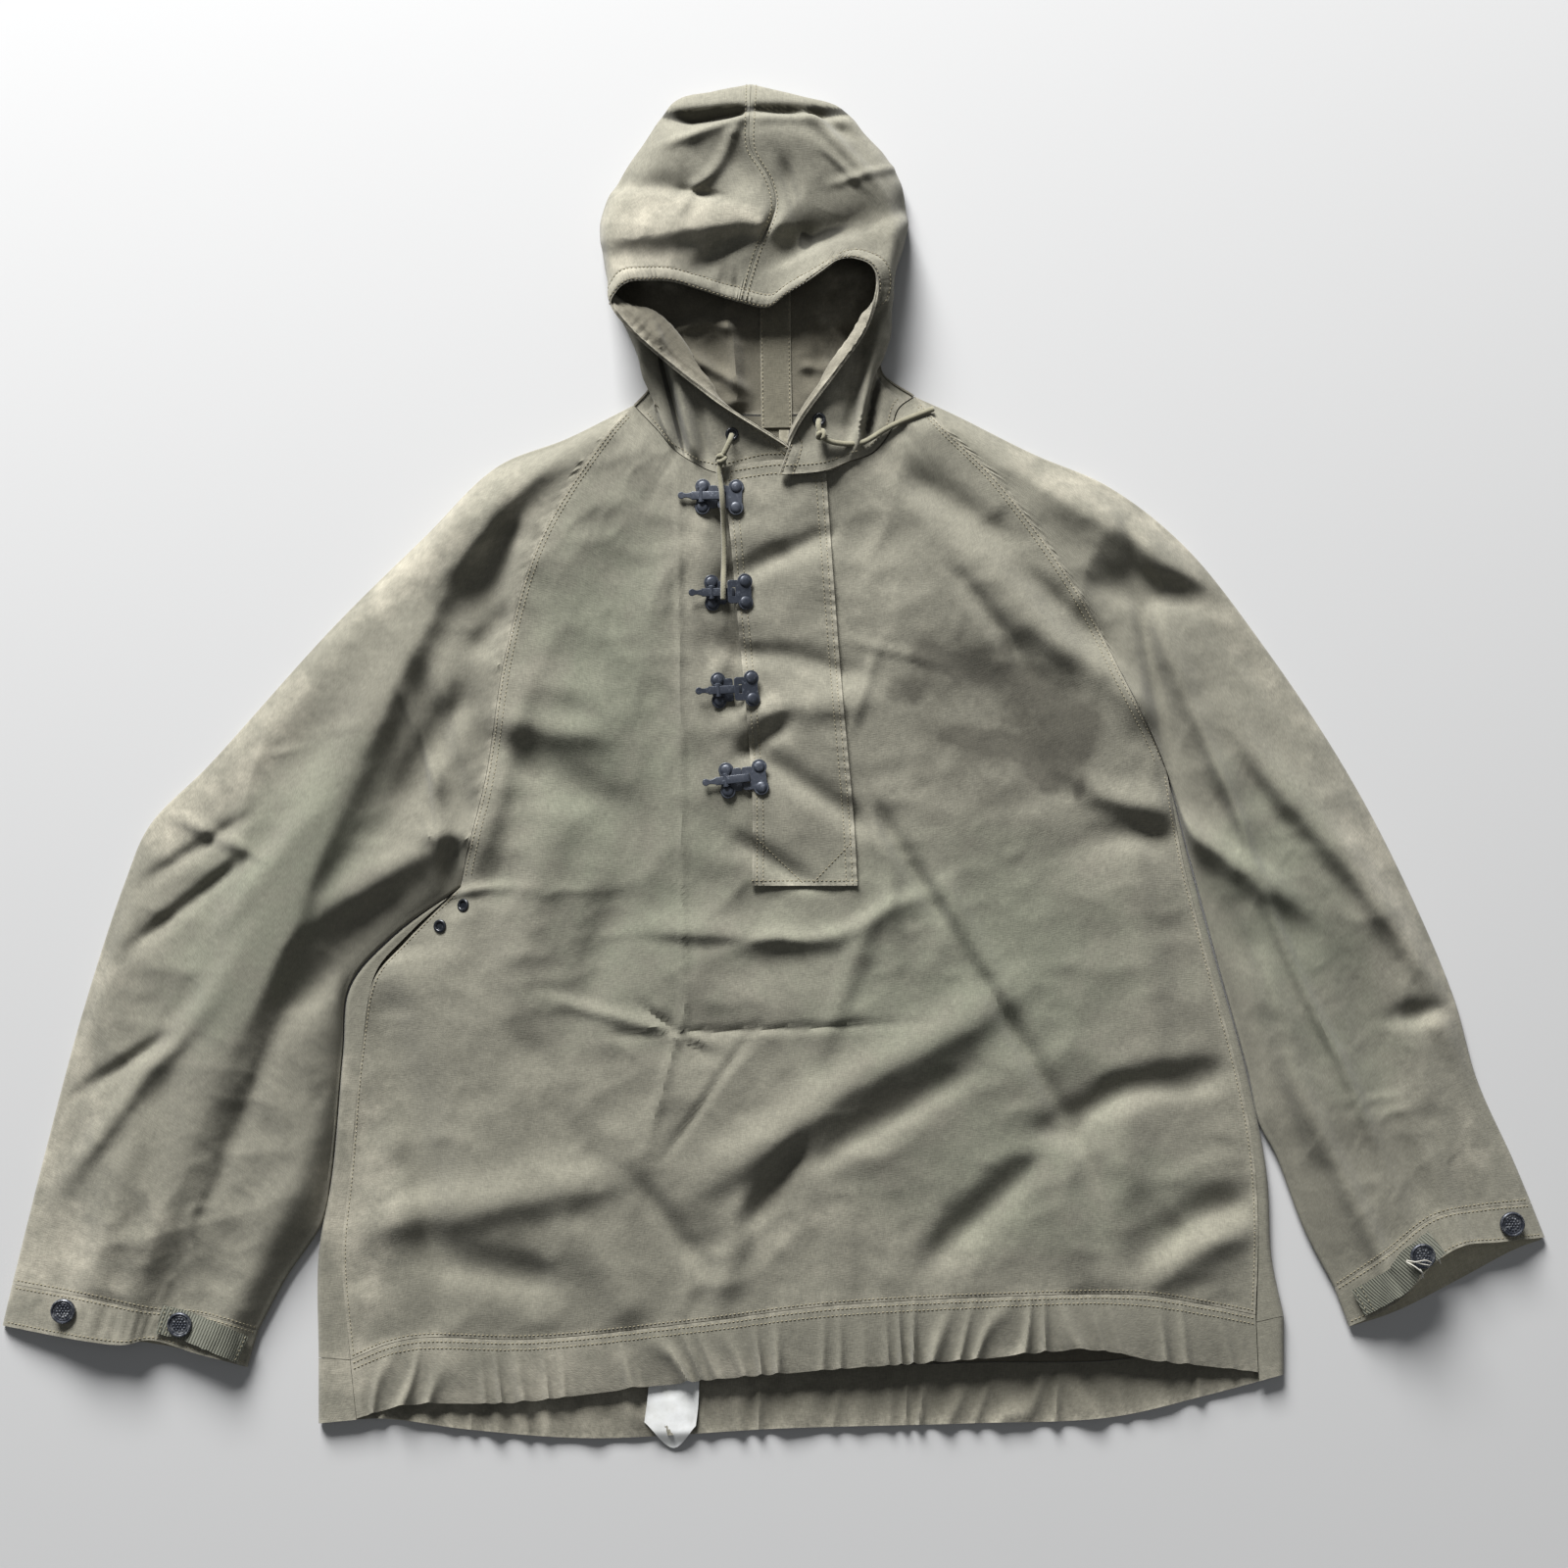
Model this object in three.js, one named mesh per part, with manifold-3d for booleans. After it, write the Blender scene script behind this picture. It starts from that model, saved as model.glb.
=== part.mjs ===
// Hooded pullover anorak smock of heavy canvas, laid out flat on its back.
// Millimetres. X runs across the smock, Y from the hem to the hood, Z up from the surface it lies on.
// Outlines are measured from straight above, from the chest centre, as seen from eyeHeight.
import * as THREE from "three";
import { mergeVertices } from "three/addons/utils/BufferGeometryUtils.js";
import Module from "manifold-3d";

const wasm = await Module();
wasm.setup();

// Driving sizes
const eyeHeight = 1400; // a raised point looks further from the middle than it is, by height / eyeHeight
const canvas = 1.5; // one layer of cloth
const hemCloth = 2.4; // folded hem or cuff
const flapCloth = 2.2;
const seamGap = 0.3;
const sleeveFold = 3.4; // outer radius where a sleeve folds flat
const sideFold = { hem: 4.5, armpit: 3.4 }; // same, down the body's sides
const cordDiameter = 4.5;
const bodyRows = { side: 11, yoke: 8 };
const bodyColumns = 20;
const sleeveRows = 14;

const colours = { canvas: 0x77705a, tape: 0x6c6a55, metal: 0x3b424a, cord: 0x6a6856, label: 0xdadbd8 };
const clothFinish = (color) => new THREE.MeshStandardMaterial({ color, roughness: 0.92, metalness: 0 });
const finishes = {
  canvas: clothFinish(colours.canvas),
  webbing: clothFinish(colours.tape),
  cord: clothFinish(colours.cord),
  label: clothFinish(colours.label),
  metal: new THREE.MeshStandardMaterial({ color: colours.metal, roughness: 0.5, metalness: 0.7 }),
};

const smock = new THREE.Group();

// A table's rows as objects with the named columns
function table(names, rows) {
  const keys = names.split(" ");
  return rows.map((row) => Object.fromEntries(keys.map((key, k) => [key, row[k]])));
}

const curve = (rows) =>
  new THREE.CatmullRomCurve3(rows.map(([x, y, z = 0]) => new THREE.Vector3(x, y, z)), false, "centripetal");
const along = (line, t) => line.getPointAt(THREE.MathUtils.clamp(t, 0, 1));
const ease = (t) => THREE.MathUtils.smoothstep(t, 0, 1);
const mix = THREE.MathUtils.lerp;

const between = (from, to) => (v) => new THREE.Vector3().lerpVectors(from, to, v);

// Point beside a curve, moved to its left by side
function beside(line, t, side) {
  const point = along(line, t);
  const run = line.getTangentAt(THREE.MathUtils.clamp(t, 0, 1));
  return new THREE.Vector3(point.x - run.y * side, point.y + run.x * side, point.z);
}

// Plan patch between four edges: bottom and top run left to right, left and right run upwards
function patch({ bottom, top, left, right }) {
  const corners = [bottom(0), bottom(1), top(0), top(1)];
  return (u, v) => {
    const point = new THREE.Vector3();
    point.addScaledVector(bottom(u), 1 - v).addScaledVector(top(u), v);
    point.addScaledVector(left(v), 1 - u).addScaledVector(right(v), u);
    point.addScaledVector(corners[0], -(1 - u) * (1 - v)).addScaledVector(corners[1], -u * (1 - v));
    point.addScaledVector(corners[2], -(1 - u) * v).addScaledVector(corners[3], -u * v);
    return point;
  };
}

// Closed wall between an outer and an inner grid of points; closed joins the last column to the first
function wallGeometry(outer, inner, { closed = false, keep = () => true } = {}) {
  const rows = outer.length - 1;
  const columns = closed ? outer[0].length : outer[0].length - 1;
  const wrap = (j) => (closed ? (j + columns) % columns : j);
  const kept = (i, j) => i >= 0 && i < rows && wrap(j) >= 0 && wrap(j) < columns && keep(i, wrap(j));
  const positions = [];
  const face = (...points) => points.forEach((p) => positions.push(p.x, p.y, p.z));
  const rim = (a, b, c, d) => face(a, b, c, a, c, d);
  for (let i = 0; i < rows; i++)
    for (let j = 0; j < columns; j++) {
      if (!kept(i, j)) continue;
      const k = (j + 1) % outer[0].length;
      const o = [outer[i][j], outer[i][k], outer[i + 1][k], outer[i + 1][j]];
      const n = [inner[i][j], inner[i][k], inner[i + 1][k], inner[i + 1][j]];
      face(o[0], o[1], o[2], o[0], o[2], o[3]);
      face(n[0], n[2], n[1], n[0], n[3], n[2]);
      if (!kept(i - 1, j)) rim(o[1], o[0], n[0], n[1]);
      if (!kept(i, j + 1)) rim(o[2], o[1], n[1], n[2]);
      if (!kept(i + 1, j)) rim(o[3], o[2], n[2], n[3]);
      if (!kept(i, j - 1)) rim(o[0], o[3], n[3], n[0]);
    }
  const geometry = new THREE.BufferGeometry();
  geometry.setAttribute("position", new THREE.Float32BufferAttribute(positions, 3));
  return outward(geometry);
}

// Turns a closed shape's faces outwards
function outward(geometry) {
  const p = geometry.getAttribute("position").array;
  let volume = 0;
  for (let i = 0; i < p.length; i += 9)
    volume +=
      p[i] * (p[i + 4] * p[i + 8] - p[i + 5] * p[i + 7]) +
      p[i + 1] * (p[i + 5] * p[i + 6] - p[i + 3] * p[i + 8]) +
      p[i + 2] * (p[i + 3] * p[i + 7] - p[i + 4] * p[i + 6]);
  if (volume < 0)
    for (let i = 0; i < p.length; i += 9)
      for (let k = 0; k < 3; k++) [p[i + 3 + k], p[i + 6 + k]] = [p[i + 6 + k], p[i + 3 + k]];
  return geometry;
}

// Where a point seen at (x, y) from eyeHeight really lies when it is z above the surface
const drawnIn = (x, y, z) => new THREE.Vector3(x * (1 - z / eyeHeight), y * (1 - z / eyeHeight), z);

function addCloth(name, geometry, finish = finishes.canvas) {
  const p = geometry.getAttribute("position");
  for (let i = 0; i < p.count; i++) {
    const point = drawnIn(p.getX(i), p.getY(i), p.getZ(i));
    p.setXYZ(i, point.x, point.y, point.z);
  }
  const mesh = new THREE.Mesh(geometry, finish);
  mesh.name = name;
  smock.add(mesh);
  return mesh;
}

// A hard piece at a seen place, its own Z turned to face along normal and its X turned by turn degrees
function addHard(name, geometry, place, normal, turn = 0, finish = finishes.metal) {
  const mesh = new THREE.Mesh(geometry, finish);
  mesh.name = name;
  mesh.position.copy(drawnIn(place.x, place.y, place.z));
  const lean = new THREE.Quaternion().setFromUnitVectors(new THREE.Vector3(0, 0, 1), normal);
  const spin = new THREE.Quaternion().setFromAxisAngle(new THREE.Vector3(0, 0, 1), THREE.MathUtils.degToRad(turn));
  mesh.quaternion.copy(lean.multiply(spin));
  smock.add(mesh);
  return mesh;
}

// Booleans on closed geometries
function solid(geometry) {
  const bare = geometry.index ? geometry.toNonIndexed() : geometry.clone();
  bare.deleteAttribute("normal");
  bare.deleteAttribute("uv");
  const merged = mergeVertices(bare, 1e-4);
  return new wasm.Manifold(
    new wasm.Mesh({
      numProp: 3,
      vertProperties: merged.getAttribute("position").array,
      triVerts: new Uint32Array(merged.index.array),
    }),
  );
}
function geometryOf(manifold) {
  const mesh = manifold.getMesh();
  const geometry = new THREE.BufferGeometry();
  geometry.setAttribute("position", new THREE.BufferAttribute(mesh.vertProperties, 3));
  geometry.setIndex(new THREE.BufferAttribute(mesh.triVerts, 1));
  return geometry.toNonIndexed();
}
const joined = (...shapes) => geometryOf(shapes.map(solid).reduce((sum, next) => sum.add(next)));

// How far the upper cloth stands above the surface: broad swells, then ridges (+) and troughs (-).
const restingHeight = 13;
const swells = table("x y sizeX sizeY height", [
  [-20, -60, 260, 330, 6],
  [150, -300, 170, 150, 5],
  [-190, -330, 130, 140, 4],
  [-150, 170, 90, 110, 4],
  [150, 150, 110, 120, 5],
  [-430, -180, 90, 200, 8],
  [440, -160, 90, 190, 8],
]);
// from and to are the fold's ends, bend its bow to the left, width its half width, height its crest
const folds = table("fromX fromY toX toY bend width height", [
  [-166, 288, -222, 196, -6, 15, 13],
  [-226, 214, -316, 92, 10, 17, 14],
  [-238, 196, -226, 168, 0, 12, -10],
  [-344, 10, -466, -270, -14, 20, 11],
  [-320, -66, -404, -116, 0, 16, 7],
  [-300, 60, -352, -60, 8, 22, -6],
  [-460, -66, -552, -154, 4, 12, -5],
  [-466, -176, -548, -278, 4, 12, -5],
  [-270, 30, -272, -84, 6, 10, -8],
  [322, -35, 385, -86, 4, 16, 8],
  [374, -35, 450, -210, -10, 10, -7],
  [414, -24, 533, -166, -8, 22, 10],
  [533, -181, 560, -240, 0, 18, -6],
  [300, 160, 340, 150, 0, 22, -7],
  [296, 130, 312, 20, -4, 9, -7],
  [-215, 34, -159, -10, 4, 22, -6],
  [-328, -211, -279, -266, 4, 22, -7],
  [-150, -90, -140, -140, 0, 20, -4],
  [235, -273, 310, -243, 4, 26, -8],
  [130, -229, 34, -300, 6, 20, -5],
  [139, -102, 178, -170, 4, 15, 5],
  [183, -185, 245, -312, -8, 18, 6],
  [86, -38, 115, -90, 3, 10, -4],
  [-84, -128, 66, -130, -6, 8, 3],
  [124, 236, 120, 200, 0, 20, -6],
  [-86, -204, 40, -200, 0, 7, -2],
  [-300, -300, -290, -420, 6, 24, 5],
  [60, -330, 40, -410, 4, 26, 4],
]);

function foldHeight(x, y) {
  let height = 0;
  for (const f of folds) {
    const length = Math.hypot(f.toX - f.fromX, f.toY - f.fromY);
    const runX = (f.toX - f.fromX) / length;
    const runY = (f.toY - f.fromY) / length;
    const part = ((x - f.fromX) * runX + (y - f.fromY) * runY) / length;
    if (part < -0.3 || part > 1.3) continue;
    const off = (y - f.fromY) * runX - (x - f.fromX) * runY - f.bend * 4 * part * (1 - part);
    const taper = ease((part + 0.3) / 0.5) * ease((1.3 - part) / 0.5);
    height += f.height * taper * Math.exp(-((off / f.width) ** 2));
  }
  return height;
}
function clothHeight(x, y) {
  let height = restingHeight + foldHeight(x, y);
  for (const s of swells) height += s.height * Math.exp(-(((x - s.x) / s.sizeX) ** 2 + ((y - s.y) / s.sizeY) ** 2));
  return height;
}
// A folded edge starts low and rounds up over this reach
const edgeReach = 55;
const roundUp = (distance) => 1 - (1 - Math.min(distance / edgeReach, 1)) ** 2.4;

// Outlines, each as seen from above
const raglan = {
  right: curve([[-264, -84], [-258, -54], [-243, 7], [-227, 108], [-199, 200], [-147, 282], [-123, 309]]),
  left: curve([[312, 13], [307, 28], [277, 87], [238, 161], [174, 248], [129, 292], [107, 316]]),
};
const frontNeck = curve([
  [-123, 309, 9], [-103, 288, 14], [-89, 272, 16], [-72, 261, 17], [-56, 254, 17.5], [0, 252, 18],
  [34, 255, 18], [52, 262, 18], [73, 270, 17], [87, 287, 16], [94, 306, 14], [107, 316, 9],
]);
const backNeck = curve([[-123, 309], [-60, 302], [-8, 300], [50, 303], [107, 316]]);
const side = {
  rightEdge: curve([[-380, -468], [-380, -384], [-369, -320], [-360, -220], [-354, -166], [-320, -126], [-264, -84]]),
  rightSeam: curve([[-354, -470], [-361, -384], [-355, -320], [-346, -220], [-335, -160], [-310, -130], [-264, -84]]),
  leftEdge: curve([[408, -434], [398, -386], [394, -317], [378, -237], [353, -147], [330, -60], [312, 13]]),
  leftSeam: curve([[385, -433], [387, -363], [383, -300], [371, -237], [347, -147], [325, -60], [312, 13]]),
};
const hemLine = {
  front: curve([
    [-354, -470, 9], [-326, -458, 12], [-298, -452, 13], [-206, -453, 13], [-69, -439, 17], [34, -426, 20],
    [186, -418, 21], [292, -417, 19], [345, -425, 15], [385, -433, 9],
  ]),
  frontEdge: curve([
    [-349, -518, 9], [-323, -510, 11], [-298, -506, 12], [-222, -505, 12], [-106, -491, 14], [0, -481, 17],
    [149, -470, 19], [252, -462, 19], [305, -471, 17], [345, -475, 13], [387, -480, 9],
  ]),
  back: curve([
    [-380, -468], [-298, -474], [-158, -482], [0, -477], [149, -472], [286, -468], [345, -449], [408, -434],
  ]),
  backEdge: curve([
    [-380, -522], [-329, -518], [-257, -527], [-158, -534], [0, -526], [149, -522], [266, -517], [345, -499],
    [408, -482],
  ]),
};
const arm = {
  right: {
    outer: curve([
      [-123, 309], [-177, 282], [-234, 259], [-293, 202], [-368, 128], [-469, 16], [-518, -34], [-538, -80],
      [-573, -188], [-604, -304], [-630, -408],
    ]),
    inner: curve([
      [-269, -86], [-321, -125], [-356, -165], [-361.5, -220], [-370.5, -320], [-377, -358], [-406, -403],
      [-429, -446],
    ]),
    seam: curve([[-630, -408], [-570, -419], [-516, -430], [-476, -433], [-429, -446]]),
    frontMouth: curve([[-638, -442], [-570, -455], [-539, -458], [-518, -454], [-480, -465], [-438, -476]]),
    backMouth: curve([[-638, -442], [-570, -453], [-518, -456], [-480, -464], [-438, -476]]),
  },
  left: {
    outer: curve([
      [107, 316], [138, 302], [202, 270], [266, 242], [328, 193], [392, 112], [454, 19], [499, -64], [546, -172],
      [566, -242], [594, -304], [610, -342],
    ]),
    inner: curve([
      [315, 12], [332, -60], [355, -147], [379.8, -237], [388.6, -277], [401.5, -304], [425, -365], [449, -411],
    ]),
    seam: curve([[610, -342], [568, -346], [530, -354], [490, -384], [449, -411]]),
    frontMouth: curve([[621, -370], [584, -374], [555, -377], [530, -392], [513, -412], [490, -430], [461, -443]]),
    backMouth: curve([[621, -371], [598, -379], [553, -403], [498, -431], [461, -443]]),
  },
};

// Sleeve and cuff rings: flat underside, a fold at each edge, a raised upper layer
const sleeveWidth = (plan, u) => plan(u, 0).distanceTo(plan(u, 1));
function sleeveHeight(plan, u, v) {
  const point = plan(u, v);
  const low = 2 * sleeveFold;
  const near = Math.min(v, 1 - v) * sleeveWidth(plan, u);
  return low + Math.max(clothHeight(point.x, point.y) - low, 1) * roundUp(near);
}
const across = bodyRows.yoke;
function ringGrids({ upper, under, rows, cloth, height }) {
  const outer = [];
  const inner = [];
  for (let i = 0; i <= rows; i++) {
    const u = i / rows;
    const from = upper(u, 0).setZ(0);
    const to = upper(u, 1).setZ(0);
    const inFrom = upper(u, 0.08).setZ(0).sub(from).normalize();
    const inTo = upper(u, 0.92).setZ(0).sub(to).normalize();
    const rings = [[], []];
    const put = (x, y, outerZ, innerZ) => {
      rings[0].push(new THREE.Vector3(x, y, outerZ));
      rings[1].push(new THREE.Vector3(x, y, innerZ));
    };
    const foldRound = (corner, inwards, fromTop) => {
      const centre = corner.clone().addScaledVector(inwards, sleeveFold);
      for (const quarter of [1, 2, 3]) {
        const angle = (quarter * Math.PI) / 4;
        const lift = fromTop ? Math.cos(angle) : -Math.cos(angle);
        [sleeveFold, sleeveFold - cloth].forEach((radius, layer) => {
          const point = centre.clone().addScaledVector(inwards, -radius * Math.sin(angle));
          rings[layer].push(point.setZ(sleeveFold + radius * lift));
        });
      }
    };
    const inset = (v, plan) => {
      if (v === 0) return from.clone().addScaledVector(inFrom, sleeveFold);
      if (v === 1) return to.clone().addScaledVector(inTo, sleeveFold);
      return plan(u, v);
    };
    for (let k = across; k >= 0; k--) {
      const point = inset(k / across, under);
      put(point.x, point.y, 0, cloth);
    }
    foldRound(from, inFrom, false);
    for (let k = 0; k <= across; k++) {
      const point = inset(k / across, upper);
      const z = k === 0 || k === across ? 2 * sleeveFold : height(u, k / across);
      put(point.x, point.y, z, z - cloth);
    }
    foldRound(to, inTo, true);
    outer.push(rings[0]);
    inner.push(rings[1]);
  }
  return [outer, inner];
}
function sleevePlan(hand) {
  const edges = arm[hand];
  const outwards = hand === "right" ? seamGap : -seamGap;
  return patch({
    bottom: (v) => beside(raglan[hand], 1 - v, outwards).setZ(0),
    top: (v) => along(edges.seam, v),
    left: (u) => (u === 0 ? beside(raglan[hand], 1, outwards) : along(edges.outer, u)),
    right: (u) => (u === 0 ? beside(raglan[hand], 0, outwards) : along(edges.inner, u)),
  });
}
const mouthRise = { right: 1, left: 4 }; // how much higher a cuff's mouth stands than its seam
const sleevePlans = {};
const cuffFaces = {};
for (const hand of ["right", "left"]) {
  const square = sleevePlan(hand);
  const plan = (u, v) => square(v, u);
  sleevePlans[hand] = plan;
  const height = (u, v) => sleeveHeight(plan, u, v);
  const grids = ringGrids({ upper: plan, under: plan, rows: sleeveRows, cloth: canvas, height });
  addCloth(`sleeve_${hand}`, wallGeometry(...grids, { closed: true }));

  const edges = arm[hand];
  const cuffTop = (v) => beside(edges.seam, v, hand === "right" ? -seamGap : seamGap);
  const cuffPlan = (mouth) => {
    const flat = patch({
      bottom: cuffTop,
      top: (v) => along(mouth, v),
      left: (u) => between(cuffTop(0), along(mouth, 0))(u),
      right: (u) => between(cuffTop(1), along(mouth, 1))(u),
    });
    return (u, v) => flat(v, u);
  };
  const upper = cuffPlan(edges.frontMouth);
  const under = cuffPlan(edges.backMouth);
  const cuffHeight = (u, v) => height(1, v) + u * mouthRise[hand] * Math.sin(Math.PI * v);
  const cuff = ringGrids({ upper, under, rows: 3, cloth: hemCloth, height: cuffHeight });
  addCloth(`cuff_${hand}`, wallGeometry(...cuff, { closed: true }));
  cuffFaces[hand] = cuff[0].map((ring) => ring.slice(across + 4, 2 * across + 5));
}

// Body: the front and the back share their rows at the side seams and the raglan seams
const rowCount = bodyRows.side + bodyRows.yoke;
const armpitAt = bodyRows.side / rowCount;
const upBody = (low, high) => (v) =>
  v <= armpitAt ? along(low, v / armpitAt) : along(high, (v - armpitAt) / (1 - armpitAt));
const sideRadius = (v) => mix(sideFold.hem, sideFold.armpit, Math.min(v / armpitAt, 1));
const frontPlan = patch({
  bottom: (u) => along(hemLine.front, u).setZ(0),
  top: (u) => along(frontNeck, u).setZ(0),
  left: (v) => upBody(side.rightSeam, raglan.right)(v).setZ(0),
  right: (v) => upBody(side.leftSeam, raglan.left)(v).setZ(0),
});
const seamHeight = (hand) => (v) =>
  v <= armpitAt ? 2 * sideRadius(v) : sleeveHeight(sleevePlans[hand], 0, 1 - (v - armpitAt) / (1 - armpitAt));
const edgeHeights = {
  left: seamHeight("right"),
  right: seamHeight("left"),
  bottom: (u) => along(hemLine.front, u).z,
  top: (u) => along(frontNeck, u).z,
};
const settleReach = 50; // how far in from an edge the cloth comes to its own height
function frontHeight(u, v) {
  const at = (a, b) => {
    const p = frontPlan(a, b);
    return clothHeight(p.x, p.y);
  };
  const width = frontPlan(0, v).distanceTo(frontPlan(1, v));
  const length = frontPlan(u, 0).distanceTo(frontPlan(u, 1));
  const near = (part, size) => Math.exp(-Math.pow((part * size) / settleReach, 1.5)) * (1 - part);
  const sideways = (a, b) =>
    at(a, b) +
    (edgeHeights.left(b) - at(0, b)) * near(a, width) +
    (edgeHeights.right(b) - at(1, b)) * near(1 - a, width);
  return (
    sideways(u, v) +
    (edgeHeights.bottom(u) - sideways(u, 0)) * near(v, length) +
    (edgeHeights.top(u) - sideways(u, 1)) * near(1 - v, length)
  );
}
function panelGrids({ plan, rows, columns, cloth, height }) {
  const outer = [];
  const inner = [];
  for (let i = 0; i <= rows; i++) {
    const line = [];
    for (let j = 0; j <= columns; j++) {
      const point = plan(j / columns, i / rows);
      line.push(point.setZ(height(j / columns, i / rows, point)));
    }
    outer.push(line);
    inner.push(line.map((p) => new THREE.Vector3(p.x, p.y, p.z - cloth)));
  }
  return [outer, inner];
}
const frontGrids = panelGrids({
  plan: frontPlan,
  rows: rowCount,
  columns: bodyColumns,
  cloth: canvas,
  height: frontHeight,
});

// Height of a panel's own upper faces under a point, or null beside it
function heightOn(grid, x, y) {
  const inside = (a, b, c) => {
    const area = (b.x - a.x) * (c.y - a.y) - (c.x - a.x) * (b.y - a.y);
    const wb = ((x - a.x) * (c.y - a.y) - (c.x - a.x) * (y - a.y)) / area;
    const wc = ((b.x - a.x) * (y - a.y) - (x - a.x) * (b.y - a.y)) / area;
    const wa = 1 - wb - wc;
    return Math.min(wa, wb, wc) > -1e-6 ? wa * a.z + wb * b.z + wc * c.z : -Infinity;
  };
  let highest = -Infinity;
  for (let i = 0; i < grid.length - 1; i++)
    for (let j = 0; j < grid[0].length - 1; j++) {
      const [a, b, c, d] = [grid[i][j], grid[i][j + 1], grid[i + 1][j + 1], grid[i + 1][j]];
      highest = Math.max(highest, inside(a, b, c), inside(a, c, d));
    }
  return highest === -Infinity ? null : highest;
}
const neckHeight = 18; // stands in for the front's height just past its neck edge
const onFront = (x, y) => heightOn(frontGrids[0], x, y) ?? neckHeight;

// The placket slit lies under the flap's free edge, from the neck to slitEnd
const slitWidth = 5;
const slitLine = curve([[-41, 275], [-33, 200], [-23, 110], [-15, 20], [-13, -70]]);
const slitSides = [-1, 1].map((hand) => {
  const points = [];
  for (let k = 0; k <= 6; k++) points.push(beside(slitLine, k / 6, (hand * slitWidth) / 2));
  return points;
});
const slitOutline = [...slitSides[0], ...slitSides[1].reverse()].map((p) => new THREE.Vector2(p.x, p.y));
const slit = new THREE.ExtrudeGeometry(new THREE.Shape(slitOutline), { depth: 60, bevelEnabled: false });
addCloth("front_body", geometryOf(solid(wallGeometry(...frontGrids)).subtract(solid(slit))));

// Back panel: flat on the surface, wrapping up round both sides to the side seams on the front
const backEdge = {
  left: (v) => upBody(side.rightEdge, raglan.right)(v).setZ(0),
  right: (v) => upBody(side.leftEdge, raglan.left)(v).setZ(0),
};
const backPlan = patch({
  bottom: (u) => along(hemLine.back, u),
  top: (u) => along(backNeck, u),
  ...backEdge,
});
const backColumns = 6;
function wrapRow(edge, seam, inwards, radius, top, wrapped, cloth) {
  const points = [[], []];
  const centre = edge.clone().addScaledVector(inwards, radius);
  const put = (x, y, outerZ, innerZ) => {
    points[0].push(new THREE.Vector3(x, y, outerZ));
    points[1].push(new THREE.Vector3(x, y, innerZ));
  };
  if (!wrapped) {
    // above the armpit the same columns lie flat, side by side along the edge
    for (let k = 0; k < 5; k++) {
      const point = edge.clone().addScaledVector(inwards, k * 2.5);
      put(point.x, point.y, 0, cloth);
    }
    return points;
  }
  const end = seam.clone().addScaledVector(inwards, -seamGap);
  put(end.x, end.y, top, top - cloth);
  for (const quarter of [1, 2, 3]) {
    const angle = (quarter * Math.PI) / 4;
    [radius, radius - cloth].forEach((r, layer) => {
      const point = centre.clone().addScaledVector(inwards, -r * Math.sin(angle));
      points[layer].push(point.setZ(radius + r * Math.cos(angle)));
    });
  }
  put(centre.x, centre.y, 0, cloth);
  return points;
}
function backGrids({ plan, rows, columns, cloth, edges, seams, radius, wrapped, lift = () => 0 }) {
  const outer = [];
  const inner = [];
  for (let i = 0; i <= rows; i++) {
    const v = i / rows;
    const [a, b] = [edges.left(v), edges.right(v)];
    const inA = plan(0.05, v).sub(a).setZ(0).normalize();
    const inB = plan(0.95, v).sub(b).setZ(0).normalize();
    const r = radius(v);
    const left = wrapRow(a, seams.left(v), inA, r, 2 * r, wrapped(v), cloth);
    const right = wrapRow(b, seams.right(v), inB, r, 2 * r, wrapped(v), cloth);
    const middle = [[], []];
    for (let j = 1; j < columns; j++) {
      const u = j / columns;
      const point = plan(u, v);
      const z = lift(u, v);
      middle[0].push(point.clone().setZ(z));
      middle[1].push(point.clone().setZ(z + cloth));
    }
    outer.push([...left[0], ...middle[0], ...right[0].reverse()]);
    inner.push([...left[1], ...middle[1], ...right[1].reverse()]);
  }
  return [outer, inner];
}
const backWall = backGrids({
  plan: backPlan,
  rows: rowCount,
  columns: backColumns,
  cloth: canvas,
  edges: backEdge,
  seams: {
    left: (v) => upBody(side.rightSeam, raglan.right)(v).setZ(0),
    right: (v) => upBody(side.leftSeam, raglan.left)(v).setZ(0),
  },
  radius: sideRadius,
  wrapped: (v) => v < armpitAt - 1e-6,
});
addCloth("back_body", wallGeometry(...backWall));

// Drawcord hems: gathers run across each hem, uneven in step and depth
const gathers = { front: 35, back: 30, frontDepth: 2.2, backDepth: 1.5, columnsEach: 4 };
const gatherWave = (u, count) => {
  const step = count * u + 0.5 * Math.sin(9.4 * u) + 0.35 * Math.sin(31 * u + 1);
  const depth = 0.6 + 0.25 * Math.sin(17 * u + 2) + 0.15 * Math.sin(43 * u);
  return Math.sin(2 * Math.PI * step) * depth;
};
const calmEnds = (u) => ease(Math.min(u, 1 - u) / 0.05);
// The point a share u along a row of points, moved down the smock by the seam gap
function belowRow(row, u) {
  const place = u * (row.length - 1);
  const k = Math.min(Math.floor(place), row.length - 2);
  const point = new THREE.Vector3().lerpVectors(row[k], row[k + 1], place - k);
  return point.setY(point.y - 1.5 * seamGap);
}
const frontHemTop = (u) => belowRow(frontGrids[0][0], u);
const frontHemEdge = (u) => along(hemLine.frontEdge, u);
const frontHem = panelGrids({
  plan: patch({
    bottom: frontHemEdge,
    top: frontHemTop,
    left: between(frontHemEdge(0), frontHemTop(0)),
    right: between(frontHemEdge(1), frontHemTop(1)),
  }),
  rows: 1,
  columns: gathers.front * gathers.columnsEach,
  cloth: hemCloth,
  height: (u, v, point) =>
    point.z + gatherWave(u, gathers.front) * gathers.frontDepth * (1 - v) ** 0.7 * calmEnds(u),
});
addCloth("hem_front", wallGeometry(...frontHem));

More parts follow.
